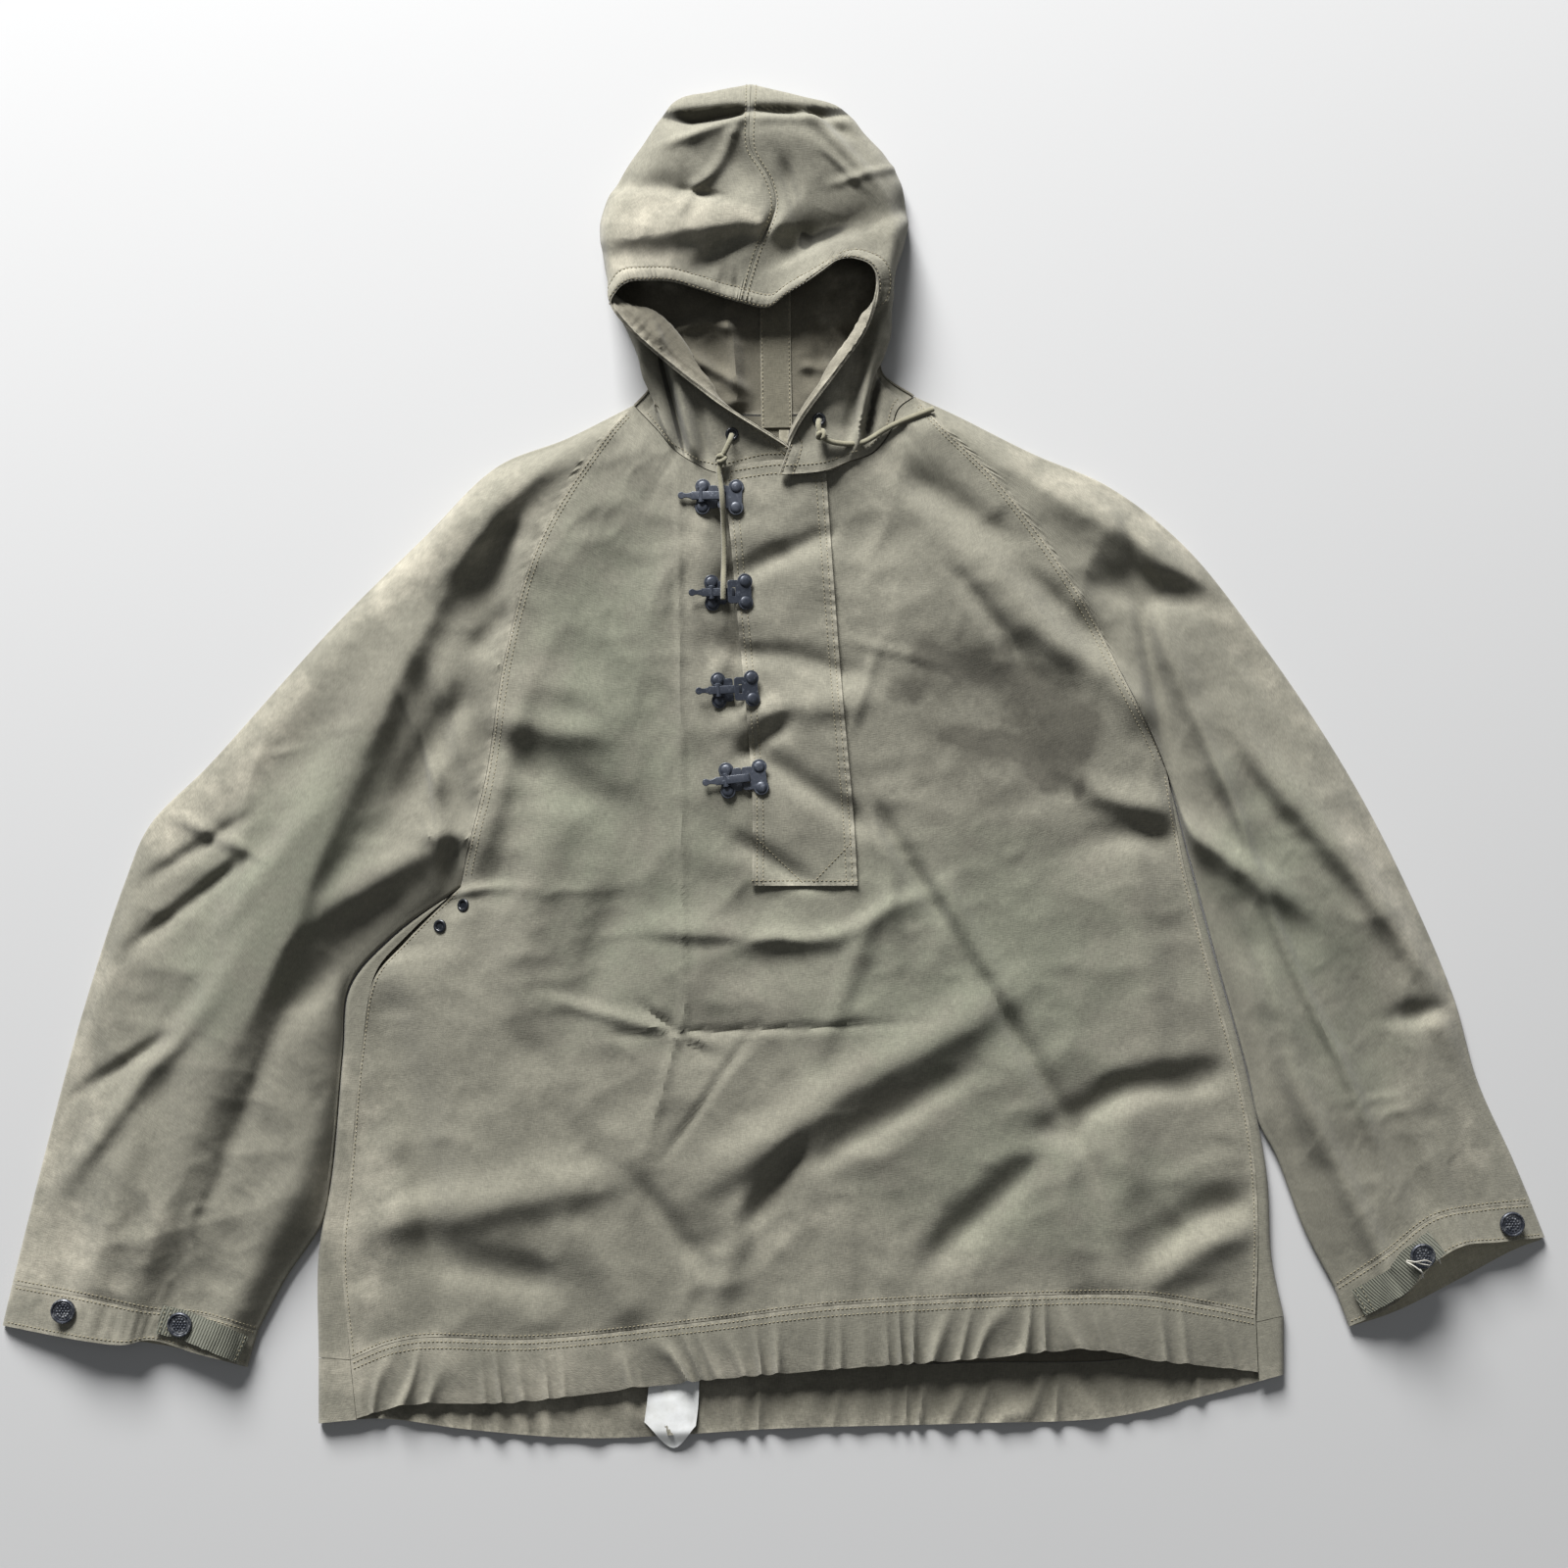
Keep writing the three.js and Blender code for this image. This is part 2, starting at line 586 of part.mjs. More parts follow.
const backBottom = Array.from({ length: backColumns + 1 }, (_, k) => backPlan(k / backColumns, 0));
const backHemTop = (u) => belowRow(backBottom, u);
const backHemEdge = (u) => along(hemLine.backEdge, u);
const hemSeam = {
  left: between(frontHemEdge(0).setZ(0), frontHemTop(0).setZ(0)),
  right: between(frontHemEdge(1).setZ(0), frontHemTop(1).setZ(0)),
};
const hemEnds = {
  left: between(backHemEdge(0), backHemTop(0)),
  right: between(backHemEdge(1), backHemTop(1)),
};
const backHem = backGrids({
  plan: patch({ bottom: backHemEdge, top: backHemTop, ...hemEnds }),
  rows: 1,
  columns: gathers.back * gathers.columnsEach,
  cloth: hemCloth,
  edges: hemEnds,
  seams: hemSeam,
  radius: () => sideFold.hem,
  wrapped: () => true,
  lift: (u, v) => (gatherWave(u, gathers.back) + 1) * 0.5 * gathers.backDepth * (1 - v) * calmEnds(u),
});
addCloth("hem_back", wallGeometry(...backHem));

// Placket: the flap lies on the front, its shield lies under the slit
const flapLift = 0.8;
const flapTop = curve([[-54, 258], [-1, 265], [34, 260]]);
const flapEdges = {
  left: curve([[-26, -83], [-26, -9], [-31, 62], [-39, 147], [-46, 219], [-54, 258]]),
  right: curve([[60, -83], [57, -30], [47, 81], [39, 187], [34, 260]]),
  bottom: curve([[-26, -83], [60, -84]]),
};
const flapPlan = patch({
  bottom: (u) => along(flapEdges.bottom, u),
  top: (u) => along(flapTop, u),
  left: (v) => along(flapEdges.left, v),
  right: (v) => along(flapEdges.right, v),
});
const flapHeight = (x, y) => onFront(x, y) + flapLift + flapCloth;
const flapGrids = panelGrids({
  plan: flapPlan,
  rows: 18,
  columns: 6,
  cloth: flapCloth,
  height: (u, v, point) => flapHeight(point.x, point.y),
});
addCloth("placket_flap", wallGeometry(...flapGrids));

const shieldGap = 0.7;
const shieldPlan = patch({
  bottom: (u) => along(curve([[-80, -126], [-5, -125], [58, -122]]), u),
  top: (u) => along(curve([[-66, 236], [46, 236]]), u),
  left: (v) => along(curve([[-80, -126], [-86, 0], [-86, 120], [-66, 236]]), v),
  right: (v) => along(curve([[58, -122], [58, 0], [46, 236]]), v),
});
const shieldGrids = panelGrids({
  plan: shieldPlan,
  rows: 15,
  columns: 5,
  cloth: canvas,
  height: (u, v, point) => onFront(point.x, point.y) - canvas - shieldGap,
});
addCloth("placket_shield", wallGeometry(...shieldGrids));

// Hood: each half is one panel, from the centre back seam along the floor, round the rim fold,
// over to the face edge. Rows run from the crown (0) to the neck seam (1).
const hoodColumns = { floor: 4, over: 12 };
const hoodRows = 18;
const hoodTables = {
  right: table("backX backY rimX rimY fold rollZ midZ edgeX edgeY edgeZ lapel", [
    [-25, 541, -27, 571, 11, 27, 20, -35, 396, 20, 0],
    [-22, 530, -58, 565, 11, 27, 23, -45, 392, 22, 0],
    [-19, 516, -90, 556, 10, 26, 27, -67, 403, 27, 0],
    [-16, 492, -116, 520, 9, 26, 30, -91, 410, 33, 0],
    [-13, 464, -138, 489, 9, 28, 33, -110, 411, 38, 0],
    [-10, 440, -146, 468, 9, 30, 36, -126, 410, 42, 0],
    [-9, 416, -147, 444, 9, 30, 38, -136, 403, 43, 0],
    [-8, 392, -145, 416, 8, 26, 34, -141, 390, 42, 2],
    [-8, 368, -134, 384, 8, 20, 24, -126, 370, 40, 24],
    [-8, 348, -126, 364, 7, 17, 21, -106, 350, 36, 30],
    [-8, 328, -118, 346, 7, 16, 20, -75, 322, 32, 22],
    [-8, 314, -112, 328, 6, 15, 19, -45, 301, 27, 8],
    [-8, 301, -123, 312, 5, 14, 16, -17, 265, 15, 0],
  ]),
  left: table("backX backY rimX rimY fold rollZ midZ edgeX edgeY edgeZ lapel", [
    [-25, 541, -27, 571, 11, 27, 20, -35, 396, 20, 0],
    [-20, 530, 10, 562, 11, 27, 20, -14, 389, 18, 0],
    [-16, 516, 46, 552, 10, 26, 23, 2, 400, 24, 0],
    [-13, 492, 66, 530, 9, 27, 27, 18, 410, 33, 0],
    [-10, 464, 84, 510, 9, 29, 30, 32, 420, 41, 0],
    [-9, 440, 98, 484, 9, 31, 35, 44, 428, 45, 0],
    [-8, 416, 102, 460, 9, 31, 38, 58, 429, 46, 0],
    [-8, 392, 96, 436, 8, 30, 38, 72, 422, 46, 0],
    [-8, 368, 86, 408, 8, 26, 34, 77, 402, 44, 3],
    [-8, 348, 82, 384, 7, 20, 24, 70, 376, 40, 8],
    [-8, 328, 84, 362, 7, 17, 20, 53, 344, 35, 8],
    [-8, 314, 84, 338, 6, 16, 20, 26, 308, 30, 6],
    [-8, 301, 107, 320, 5, 14, 20, 0, 252, 26, 0],
  ]),
};
const crownSeam = curve([
  [-27, 571, 11], [-28, 550, 27], [-27, 501, 22], [-12, 482, 21], [-7, 461, 20], [-22, 430, 20], [-35, 396, 20],
]);
// The hood's lower edge follows the front's neck seam; its right end dips under the flap, its left lies on it
const neckShare = { right: 0.6, left: 0.5 };
const hoodNeck = {
  right: (t) => {
    const point = beside(frontNeck, t * neckShare.right, 2.5 * seamGap);
    const end = ease((t - 0.55) / 0.3);
    return point.setY(point.y + 8 * end).setZ(point.z - 5 * end - 4 * (1 - ease(t / 0.15)));
  },
  left: (t) => {
    const point = beside(frontNeck, 1 - t * neckShare.left, 4 * seamGap);
    return point.setZ(point.z + 8 * ease((t - 0.45) / 0.3) - 4 * (1 - ease(t / 0.15)));
  },
};
const hoodBackNeck = {
  right: curve([[-8, 301.5], [-60, 303.5], [-123, 312]]),
  left: curve([[-8, 301.5], [50, 304.5], [107, 320]]),
};

function tableAt(rows, s) {
  const place = s * (rows.length - 1);
  const k = Math.min(Math.floor(place), rows.length - 2);
  const t = place - k;
  const row = {};
  for (const key of Object.keys(rows[0])) {
    const [a, b, c, d] = [k - 1, k, k + 1, k + 2].map((n) => rows[THREE.MathUtils.clamp(n, 0, rows.length - 1)][key]);
    row[key] = 0.5 * (2 * b + (c - a) * t + (2 * a - 5 * b + 4 * c - d) * t * t + (3 * b - a - 3 * c + d) * t ** 3);
  }
  return row;
}
function hoodPath(hand, s) {
  const row = tableAt(hoodTables[hand], s);
  const rim = new THREE.Vector3(row.rimX, row.rimY, 0);
  const edge = new THREE.Vector3(row.edgeX, row.edgeY, row.edgeZ);
  const lapel = Math.max(row.lapel, 0);
  const lapelRun = new THREE.Vector3(hand === "right" ? 0.72 : -0.85, hand === "right" ? 0.69 : 0.2, -0.42);
  const roll = edge.clone().addScaledVector(lapelRun, lapel);
  const inwards = roll.clone().sub(rim).setZ(0);
  const reach = Math.max(inwards.length(), 1);
  inwards.normalize();
  const back = new THREE.Vector3(row.backX, row.backY, 0);
  const toBack = back.clone().sub(rim).normalize();
  const start = rim.clone().addScaledVector(toBack, row.fold * 1.2);
  const steps = [
    start,
    rim.clone().addScaledVector(toBack, row.fold * 0.25).setZ(row.fold * 0.28),
    rim.clone().setZ(row.fold),
    rim.clone().addScaledVector(inwards, 0.2 * reach).setZ(row.rollZ),
    rim.clone().addScaledVector(inwards, 0.62 * reach).setZ(row.midZ),
  ];
  if (lapel > 1) steps.push(roll.clone().setZ(mix(row.midZ, roll.z, 0.6)), roll.clone().lerp(edge, 0.35));
  steps.push(edge);
  const over = new THREE.CatmullRomCurve3(steps, false, "centripetal");
  const points = [];
  for (let k = 0; k < hoodColumns.floor; k++) points.push(back.clone().lerp(start, k / hoodColumns.floor));
  for (let k = 0; k <= hoodColumns.over; k++) points.push(along(over, k / hoodColumns.over));
  return points;
}
function hoodGrids(hand) {
  const sign = hand === "right" ? -1 : 1;
  const crownPath = hoodPath(hand, 0);
  const neckPath = hoodPath(hand, 1);
  const outer = [];
  for (let i = 0; i <= hoodRows; i++) {
    const s = i / hoodRows;
    const toNeck = ease((s - 0.62) / 0.38) ** 1.5;
    const toCrown = (1 - Math.min(s / 0.5, 1)) ** 2;
    const line = hoodPath(hand, s).map((point, j) => {
      const part = Math.max(j - hoodColumns.floor, 0) / hoodColumns.over;
      const seam =
        j < hoodColumns.floor ? along(hoodBackNeck[hand], j / hoodColumns.floor) : hoodNeck[hand](part);
      point.addScaledVector(seam.clone().sub(neckPath[j]), toNeck);
      if (part > 0.25) {
        const crown = along(crownSeam, part * 0.97 + 0.03);
        point.x += (crown.x - crownPath[j].x) * toCrown * ease((part - 0.25) / 0.2);
        point.z += (crown.z - crownPath[j].z) * toCrown * ease((part - 0.25) / 0.2) * 0.5;
      }
      point.z = Math.max(point.z, 0);
      return point;
    });
    outer.push(line);
  }
  const normals = outer.map((line, i) =>
    line.map((point, j) => {
      const down = outer[Math.min(i + 1, hoodRows)][j].clone().sub(outer[Math.max(i - 1, 0)][j]);
      const over = line[Math.min(j + 1, line.length - 1)].clone().sub(line[Math.max(j - 1, 0)]);
      if (i === 0) down.set(sign, 0, 0);
      return over.cross(down).multiplyScalar(sign).normalize();
    }),
  );
  const inner = outer.map((line, i) =>
    line.map((point, j) => {
      if (j < hoodColumns.floor) return point.clone().setZ(canvas);
      const moved = point.clone().addScaledVector(normals[i][j], -canvas);
      if (j === hoodColumns.floor) moved.set(point.x, point.y, canvas);
      return moved;
    }),
  );
  const apart = (line) => line.map((p) => p.clone().setX(p.x + (sign * seamGap) / 2));
  return { outer: outer.map(apart), inner: inner.map(apart), normals };
}
const hood = { right: hoodGrids("right"), left: hoodGrids("left") };
for (const hand of ["right", "left"]) addCloth(`hood_${hand}`, wallGeometry(hood[hand].outer, hood[hand].inner));

// Facing inside the face edge: it shows where the edge turns out
const facing = { columns: 3, gap: 0.4, cloth: 1.1 };
for (const hand of ["right", "left"]) {
  const { outer, normals } = hood[hand];
  const layer = (depth) =>
    outer.map((line, i) => {
      const first = line.length - 1 - facing.columns;
      return line.slice(first).map((p, k) => p.clone().addScaledVector(normals[i][first + k], -depth));
    });
  const depth = canvas + facing.gap;
  addCloth(`hood_facing_${hand}`, wallGeometry(layer(depth), layer(depth + facing.cloth)));
}

// A strap of even width along a line of (x, y, z) points, given at its upper face
function strapGeometry(line, width, thickness, spans) {
  const outer = [];
  for (let k = 0; k <= spans; k++)
    outer.push([beside(line, k / spans, width / 2), along(line, k / spans), beside(line, k / spans, -width / 2)]);
  const inner = outer.map((row) => row.map((p) => new THREE.Vector3(p.x, p.y, p.z - thickness)));
  return wallGeometry(outer, inner);
}
const tape = { width: 25, thickness: 1.2 };
const tapeZ = canvas + seamGap + tape.thickness;
const tapeLine = curve([[-6, 291, tapeZ], [-7, 360, tapeZ], [-8, 430, tapeZ], [-16, 500, tapeZ], [-20, 522, tapeZ]]);
addCloth("hood_tape", strapGeometry(tapeLine, tape.width, tape.thickness, 8));
const hanger = { width: 9, thickness: 1 };
const hangerLine = curve([[0, 289, 3], [0, 284, 5], [0, 278, 8], [0, 272, 5], [0, 267, 3]]);
addCloth("hanger_loop", strapGeometry(hangerLine, hanger.width, hanger.thickness, 6), finishes.webbing);

// Cuff tabs of ribbed webbing
const tab = { width: 24, thickness: 1.6, gap: 0.6 };
const onCuff = (hand, x, y) => heightOn(cuffFaces[hand], x, y) ?? 2 * sleeveFold;
const layTab = (hand, rows) =>
  curve(rows.map(([x, y, rise]) => [x, y, onCuff(hand, x, y) + tab.gap + tab.thickness + rise]));
const tabLines = {
  right: layTab("right", [[-510, -437, 1], [-490, -442, 0.6], [-465, -452, 0.6], [-442, -462, 0.8]]),
  left: layTab("left", [
    [469, -424, 1.6], [487, -414, 1.2], [503, -404, 4], [511, -392, 10], [521, -384, 12], [533, -374, 9],
  ]),
};
addCloth("cuff_tab_right", strapGeometry(tabLines.right, tab.width, tab.thickness, 8), finishes.webbing);
addCloth("cuff_tab_left", strapGeometry(tabLines.left, tab.width, tab.thickness, 10), finishes.webbing);

// Shank buttons of stamped metal
const buttonSize = { radius: 10, height: 3, rim: 1.6 };
function buttonGeometry() {
  const { radius, height, rim } = buttonSize;
  const profile = [
    [0, 0], [radius - 1, 0], [radius, 0.8], [radius, height - 0.8], [radius - 0.6, height],
    [radius - rim, height], [radius - rim - 0.4, height - 0.7], [0, height - 0.4],
  ].map(([x, y]) => new THREE.Vector2(x, y));
  return new THREE.LatheGeometry(profile, 14).rotateX(Math.PI / 2);
}
const up = new THREE.Vector3(0, 0, 1);
const buttons = table("name x y hand rise", [
  ["button_right_outer", -588, -430, "right", 0],
  ["button_right_tab", -493, -441, "right", 3],
  ["button_left_outer", 594, -359, "left", 0],
  ["button_left_tab", 521, -385, "left", 13],
]);
for (const { name, x, y, hand, rise } of buttons) {
  const reach = buttonSize.radius;
  const under = [[0, 0], [reach, 0], [-reach, 0], [0, reach], [0, -reach]];
  const high = Math.max(...under.map(([a, b]) => onCuff(hand, x + a, y + b)));
  addHard(name, outward(buttonGeometry().toNonIndexed()), { x, y, z: high + 0.5 + rise }, up);
}

// Enamelled eyelets: two at the hood's throat, two under the right arm
const eyelet = { hole: 2.9, radius: 5.4, height: 1.2, sides: 12 };
function ringGeometry(hole, radius, height, sides) {
  const middle = (hole + radius) / 2;
  const profile = [
    [hole, 0], [radius, 0], [radius, height * 0.4], [middle, height], [hole, height * 0.5], [hole, 0],
  ].map(([x, y]) => new THREE.Vector2(x, y));
  return outward(new THREE.LatheGeometry(profile, sides).rotateX(Math.PI / 2).toNonIndexed());
}
function slopeAt(height, x, y, reach) {
  const run = (height(x + reach, y) - height(x - reach, y)) / (2 * reach);
  const climb = (height(x, y + reach) - height(x, y - reach)) / (2 * reach);
  return new THREE.Vector3(-run, -climb, 1).normalize();
}
[[-262, -99], [-281, -116]].forEach(([x, y], k) => {
  const normal = slopeAt(onFront, x, y, eyelet.radius);
  const place = { x, y, z: onFront(x, y) + 0.9 };
  const ring = ringGeometry(eyelet.hole, eyelet.radius, eyelet.height, eyelet.sides);
  addHard(`eyelet_body_${k + 1}`, ring, place, normal);
});
const throatEyelets = { right: [-42.4, 285.6], left: [28.8, 297.6] };
for (const [hand, [x, y]] of Object.entries(throatEyelets)) {
  const onHood = (a, b) => heightOn(hood[hand].outer, a, b) ?? neckHeight;
  const normal = slopeAt(onHood, x, y, eyelet.radius);
  const ring = ringGeometry(eyelet.hole, eyelet.radius, eyelet.height, eyelet.sides);
  addHard(`eyelet_hood_${hand}`, ring, { x, y, z: onHood(x, y) + 0.9 }, normal);
}

// Four lever clasps: a lever plate on the right front, a catch plate on the flap
const clasp = { lobe: 6.2, rivetStep: 8.7, plate: 1.2, rivet: 4.2, rivetHeight: 2.1, lever: 8, reach: 27.5 };
const clasps = table("x y turn", [
  [-66.4, 234.4, -1],
  [-59, 156, 2],
  [-53.6, 76.4, 3.5],
  [-46.4, 2.8, 6],
]);
const disc = (radius, depth, y, sides) =>
  new THREE.CylinderGeometry(radius, radius, depth, sides).rotateX(Math.PI / 2).translate(0, y, depth / 2);
const dome = (y) =>
  new THREE.CylinderGeometry(clasp.rivet * 0.55, clasp.rivet, clasp.rivetHeight, 8)
    .rotateX(Math.PI / 2)
    .translate(0, y, clasp.plate + clasp.rivetHeight / 2 - 0.1);
const block = (width, depth, height, x, y, z) => new THREE.BoxGeometry(width, depth, height).translate(x, y, z);
function plateShapes() {
  const { lobe, rivetStep, plate } = clasp;
  const shapes = [block(10, 2 * rivetStep, plate, 0, 0, plate / 2)];
  for (const y of [rivetStep, -rivetStep]) shapes.push(disc(lobe, plate, y, 10), dome(y));
  return shapes;
}
function leverPlate() {
  // side view of the lever, from its tip on the left to its hooked end on the right
  const sideView = [
    [-17, 2.4], [-6, 2.4], [0, 3], [10, 5.4], [24, 5.4], [30, 4.9], [30, 6.2], [24, 7], [9, 7], [-2, 5], [-16, 3.9],
  ];
  const outline = new THREE.Shape(sideView.map(([x, z]) => new THREE.Vector2(x, z)));
  const bar = new THREE.ExtrudeGeometry(outline, { depth: clasp.lever, bevelEnabled: false })
    .rotateX(Math.PI / 2)
    .translate(0, clasp.lever / 2, 0);
  return joined(...plateShapes(), bar, block(7, clasp.lever - 1, 3.4, -2, 0, 2.2));
}
function catchPlate() {
  const window = block(6, 8, 8, -1, 0, 0);
  const whole = plateShapes().map(solid).reduce((sum, next) => sum.add(next));
  return geometryOf(whole.subtract(solid(window)));
}
const onFlap = (x, y) => heightOn(flapGrids[0], x, y) ?? onFront(x, y) + flapLift + flapCloth;
const footprint = [];
for (const a of [-6, 0, 6]) for (const b of [-14, -9, -4, 0, 4, 9, 14]) footprint.push([a, b]);
function seat(surface, x, y, normal) {
  // lowest place of a plate with this normal that clears the cloth by seamGap
  const over = ([a, b]) => surface(x + a, y + b) + (a * normal.x + b * normal.y) / normal.z;
  return Math.max(...footprint.map(over)) + seamGap;
}
clasps.forEach(({ x, y, turn }, k) => {
  const angle = THREE.MathUtils.degToRad(turn);
  const rightX = x + clasp.reach * Math.cos(angle);
  const rightY = y + clasp.reach * Math.sin(angle);
  const normal = slopeAt(onFront, x, y, 12);
  const leverZ = seat(onFront, x, y, normal);
  const catchZ = seat(onFlap, rightX, rightY, normal);
  addHard(`clasp_${k + 1}_lever`, leverPlate(), { x, y, z: leverZ }, normal, turn);
  addHard(`clasp_${k + 1}_catch`, catchPlate(), { x: rightX, y: rightY, z: catchZ }, normal, turn);
});

// Drawcord ends: each leaves its eyelet, has one knot, and lies free. The routes are points on the centre line.
const cordRoutes = {
  right: [
    [-42.4, 285.6, 23], [-44, 281, 26.5], [-47.5, 273, 27], [-51, 265.6, 25.2], [-53, 256, 25], [-52, 247, 26.4],
    [-50.8, 238, 28.4], [-50.2, 230, 28.3], [-49.6, 220, 25.6], [-49.2, 208, 22.2], [-48.8, 194, 21.2],
    [-49, 180, 22.4], [-49.4, 169, 25.8], [-49.6, 160, 28.8], [-49.6, 150.4, 28.6],
  ],
  left: [
    [28.8, 297.6, 28.6], [28, 293, 32.8], [29.5, 287, 33.6], [33.5, 281.8, 32], [38, 279.6, 30],
    [45, 278.2, 27.6], [52.8, 277.6, 24.8], [64.8, 279.2, 22], [73, 283.4, 20.8], [80, 288, 20.2],
    [92, 294.4, 19], [105.6, 300, 17.2], [122.4, 306.4, 15],
  ],
};
const cordKnots = { right: [-51, 265.6, 25.2], left: [30.6, 285.4, 33.2] };
const knot = { length: 4.6, radius: 5.8, gap: 1.2, sides: 10 };
const cordSides = 8;
for (const hand of ["right", "left"]) {
  const route = curve(cordRoutes[hand]);
  const section = new THREE.Shape();
  for (let k = 0; k < cordSides; k++) {
    const angle = (k / cordSides) * 2 * Math.PI;
    const corner = [(cordDiameter / 2) * Math.cos(angle), (cordDiameter / 2) * Math.sin(angle)];
    if (k === 0) section.moveTo(...corner);
    else section.lineTo(...corner);
  }
  const steps = Math.round(route.getLength() / (2.2 * cordDiameter));
  const tube = new THREE.ExtrudeGeometry(section, { steps, extrudePath: route, bevelEnabled: false });
  addCloth(`cord_${hand}`, tube.index ? tube.toNonIndexed() : tube, finishes.cord);

  const spot = new THREE.Vector3(...cordKnots[hand]);
  let share = 0;
  for (let t = 0; t <= 1; t += 0.005)
    if (along(route, t).distanceTo(spot) < along(route, share).distanceTo(spot)) share = t;
  const run = route.getTangentAt(share);
  const start = along(route, share).addScaledVector(run, -knot.length / 2);
  const bead = ringGeometry(cordDiameter / 2 + knot.gap, knot.radius, knot.length, knot.sides);
  addHard(`knot_${hand}`, bead, start, run, 0, finishes.cord);
}

// Blank folded cloth label, sewn inside the back hem and lying out over its edge
const labelPlan = patch({
  bottom: (u) => along(curve([[-114, -521], [-90, -542], [-72, -524]]), u),
  top: (u) => along(curve([[-110, -480], [-69, -478]]), u),
  left: (v) => along(curve([[-114, -521], [-111, -497], [-110, -480]]), v),
  right: (v) => along(curve([[-72, -524], [-70, -507], [-69, -478]]), v),
});
const label = { cloth: 1, onHem: 6.4, atTip: 2.2, hemEdge: -528, tip: -542 };
const labelGrids = panelGrids({
  plan: labelPlan,
  rows: 6,
  columns: 4,
  cloth: label.cloth,
  height: (u, v, p) => mix(label.onHem, label.atTip, ease((label.hemEdge - p.y) / (label.hemEdge - label.tip))),
});
addCloth("label", wallGeometry(...labelGrids), finishes.label);

smock.updateMatrixWorld(true);
const reachOf = new THREE.Box3().setFromObject(smock);
smock.position.set(-(reachOf.min.x + reachOf.max.x) / 2, -(reachOf.min.y + reachOf.max.y) / 2, -reachOf.min.z);

export default smock;
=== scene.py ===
from math import cos, pi, radians, sin

import bpy
import numpy as np
from mathutils import Matrix, Vector
from mathutils.bvhtree import BVHTree


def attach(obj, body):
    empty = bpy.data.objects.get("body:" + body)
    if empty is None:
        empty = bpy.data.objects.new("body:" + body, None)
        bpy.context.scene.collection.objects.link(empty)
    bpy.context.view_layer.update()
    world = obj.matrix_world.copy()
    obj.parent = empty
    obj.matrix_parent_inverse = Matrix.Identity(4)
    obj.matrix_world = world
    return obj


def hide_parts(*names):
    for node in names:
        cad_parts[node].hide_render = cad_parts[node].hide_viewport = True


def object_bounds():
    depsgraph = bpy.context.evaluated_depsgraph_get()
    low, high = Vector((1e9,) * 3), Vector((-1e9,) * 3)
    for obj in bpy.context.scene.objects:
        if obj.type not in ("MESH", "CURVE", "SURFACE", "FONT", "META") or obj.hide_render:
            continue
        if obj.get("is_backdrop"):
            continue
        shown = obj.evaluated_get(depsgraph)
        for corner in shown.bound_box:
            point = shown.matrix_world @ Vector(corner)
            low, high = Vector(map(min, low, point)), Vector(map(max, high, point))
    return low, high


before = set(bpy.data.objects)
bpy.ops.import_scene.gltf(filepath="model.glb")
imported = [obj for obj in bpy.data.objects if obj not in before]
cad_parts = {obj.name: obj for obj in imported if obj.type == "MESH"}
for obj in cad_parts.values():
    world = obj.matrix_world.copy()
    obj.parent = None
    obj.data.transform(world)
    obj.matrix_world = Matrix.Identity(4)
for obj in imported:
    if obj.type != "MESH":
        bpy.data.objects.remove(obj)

# A hooded pullover smock of worn olive canvas, laid out flat on its back.
# Outlines are in millimetres as seen from straight above the chest; placed() turns them into model metres.
cadBox = [list(corner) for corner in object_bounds()]

view = {"eye": 1400.0, "span": 1280.0, "centre": (8.50, -13.54)}  # centre: chest centre in the model, mm


def linked(name, data):
    thing = bpy.data.objects.new(name, data)
    bpy.context.scene.collection.objects.link(thing)
    return thing


camera = linked("camera", bpy.data.cameras.new("camera"))
camera.location = (view["centre"][0] / 1000, view["centre"][1] / 1000, view["eye"] / 1000)
camera.data.sensor_width = 36
camera.data.lens = 36 * view["eye"] / view["span"]
camera.data.clip_start = 0.01
bpy.context.scene.camera = camera
print("camera set")


# Curves, surfaces and heights

def table(names, rows):
    keys = names.split()
    return [dict(zip(keys, row)) for row in rows]


def curve(rows):  # smooth line through a few points, with its length
    points = np.array([tuple(row) + (0.0,) * (3 - len(row)) for row in rows], float)
    ends = np.vstack([2 * points[0] - points[1], points, 2 * points[-1] - points[-2]])
    dense = []
    for k in range(1, len(ends) - 2):
        a, b, c, d = ends[k - 1 : k + 3]
        ab, bc, cd = (max(np.linalg.norm(q - p), 1e-6) ** 0.5 for p, q in ((a, b), (b, c), (c, d)))
        leave = ((b - a) / ab - (c - a) / (ab + bc) + (c - b) / bc) * bc
        reach = ((c - b) / bc - (d - b) / (bc + cd) + (d - c) / cd) * bc
        t = np.linspace(0, 1, 40, endpoint=False)[:, None]
        bend = (-3 * b + 3 * c - 2 * leave - reach) * t**2 + (2 * b - 2 * c + leave + reach) * t**3
        dense.append(b + leave * t + bend)
    dense = np.vstack(dense + [points[-1:]])
    run = np.concatenate([[0], np.cumsum(np.linalg.norm(np.diff(dense, axis=0), axis=1))])
    return {"points": dense, "share": run / run[-1], "length": run[-1]}


def along(line, t):
    t = np.clip(t, 0, 1)
    return np.stack([np.interp(t, line["share"], line["points"][:, k]) for k in range(3)], -1)


def follow(line):
    return lambda t: along(line, t)


def unit(vectors):
    return vectors / np.maximum(np.linalg.norm(vectors, axis=-1, keepdims=True), 1e-9)


def heading(line, t):
    t = np.clip(t, 0.002, 0.998)
    return unit(along(line, t + 0.002) - along(line, t - 0.002))


def beside(line, t, aside):  # the line moved to its left
    run = heading(line, t)
    return along(line, t) + np.stack([-run[..., 1] * aside, run[..., 0] * aside, 0 * run[..., 0]], -1)


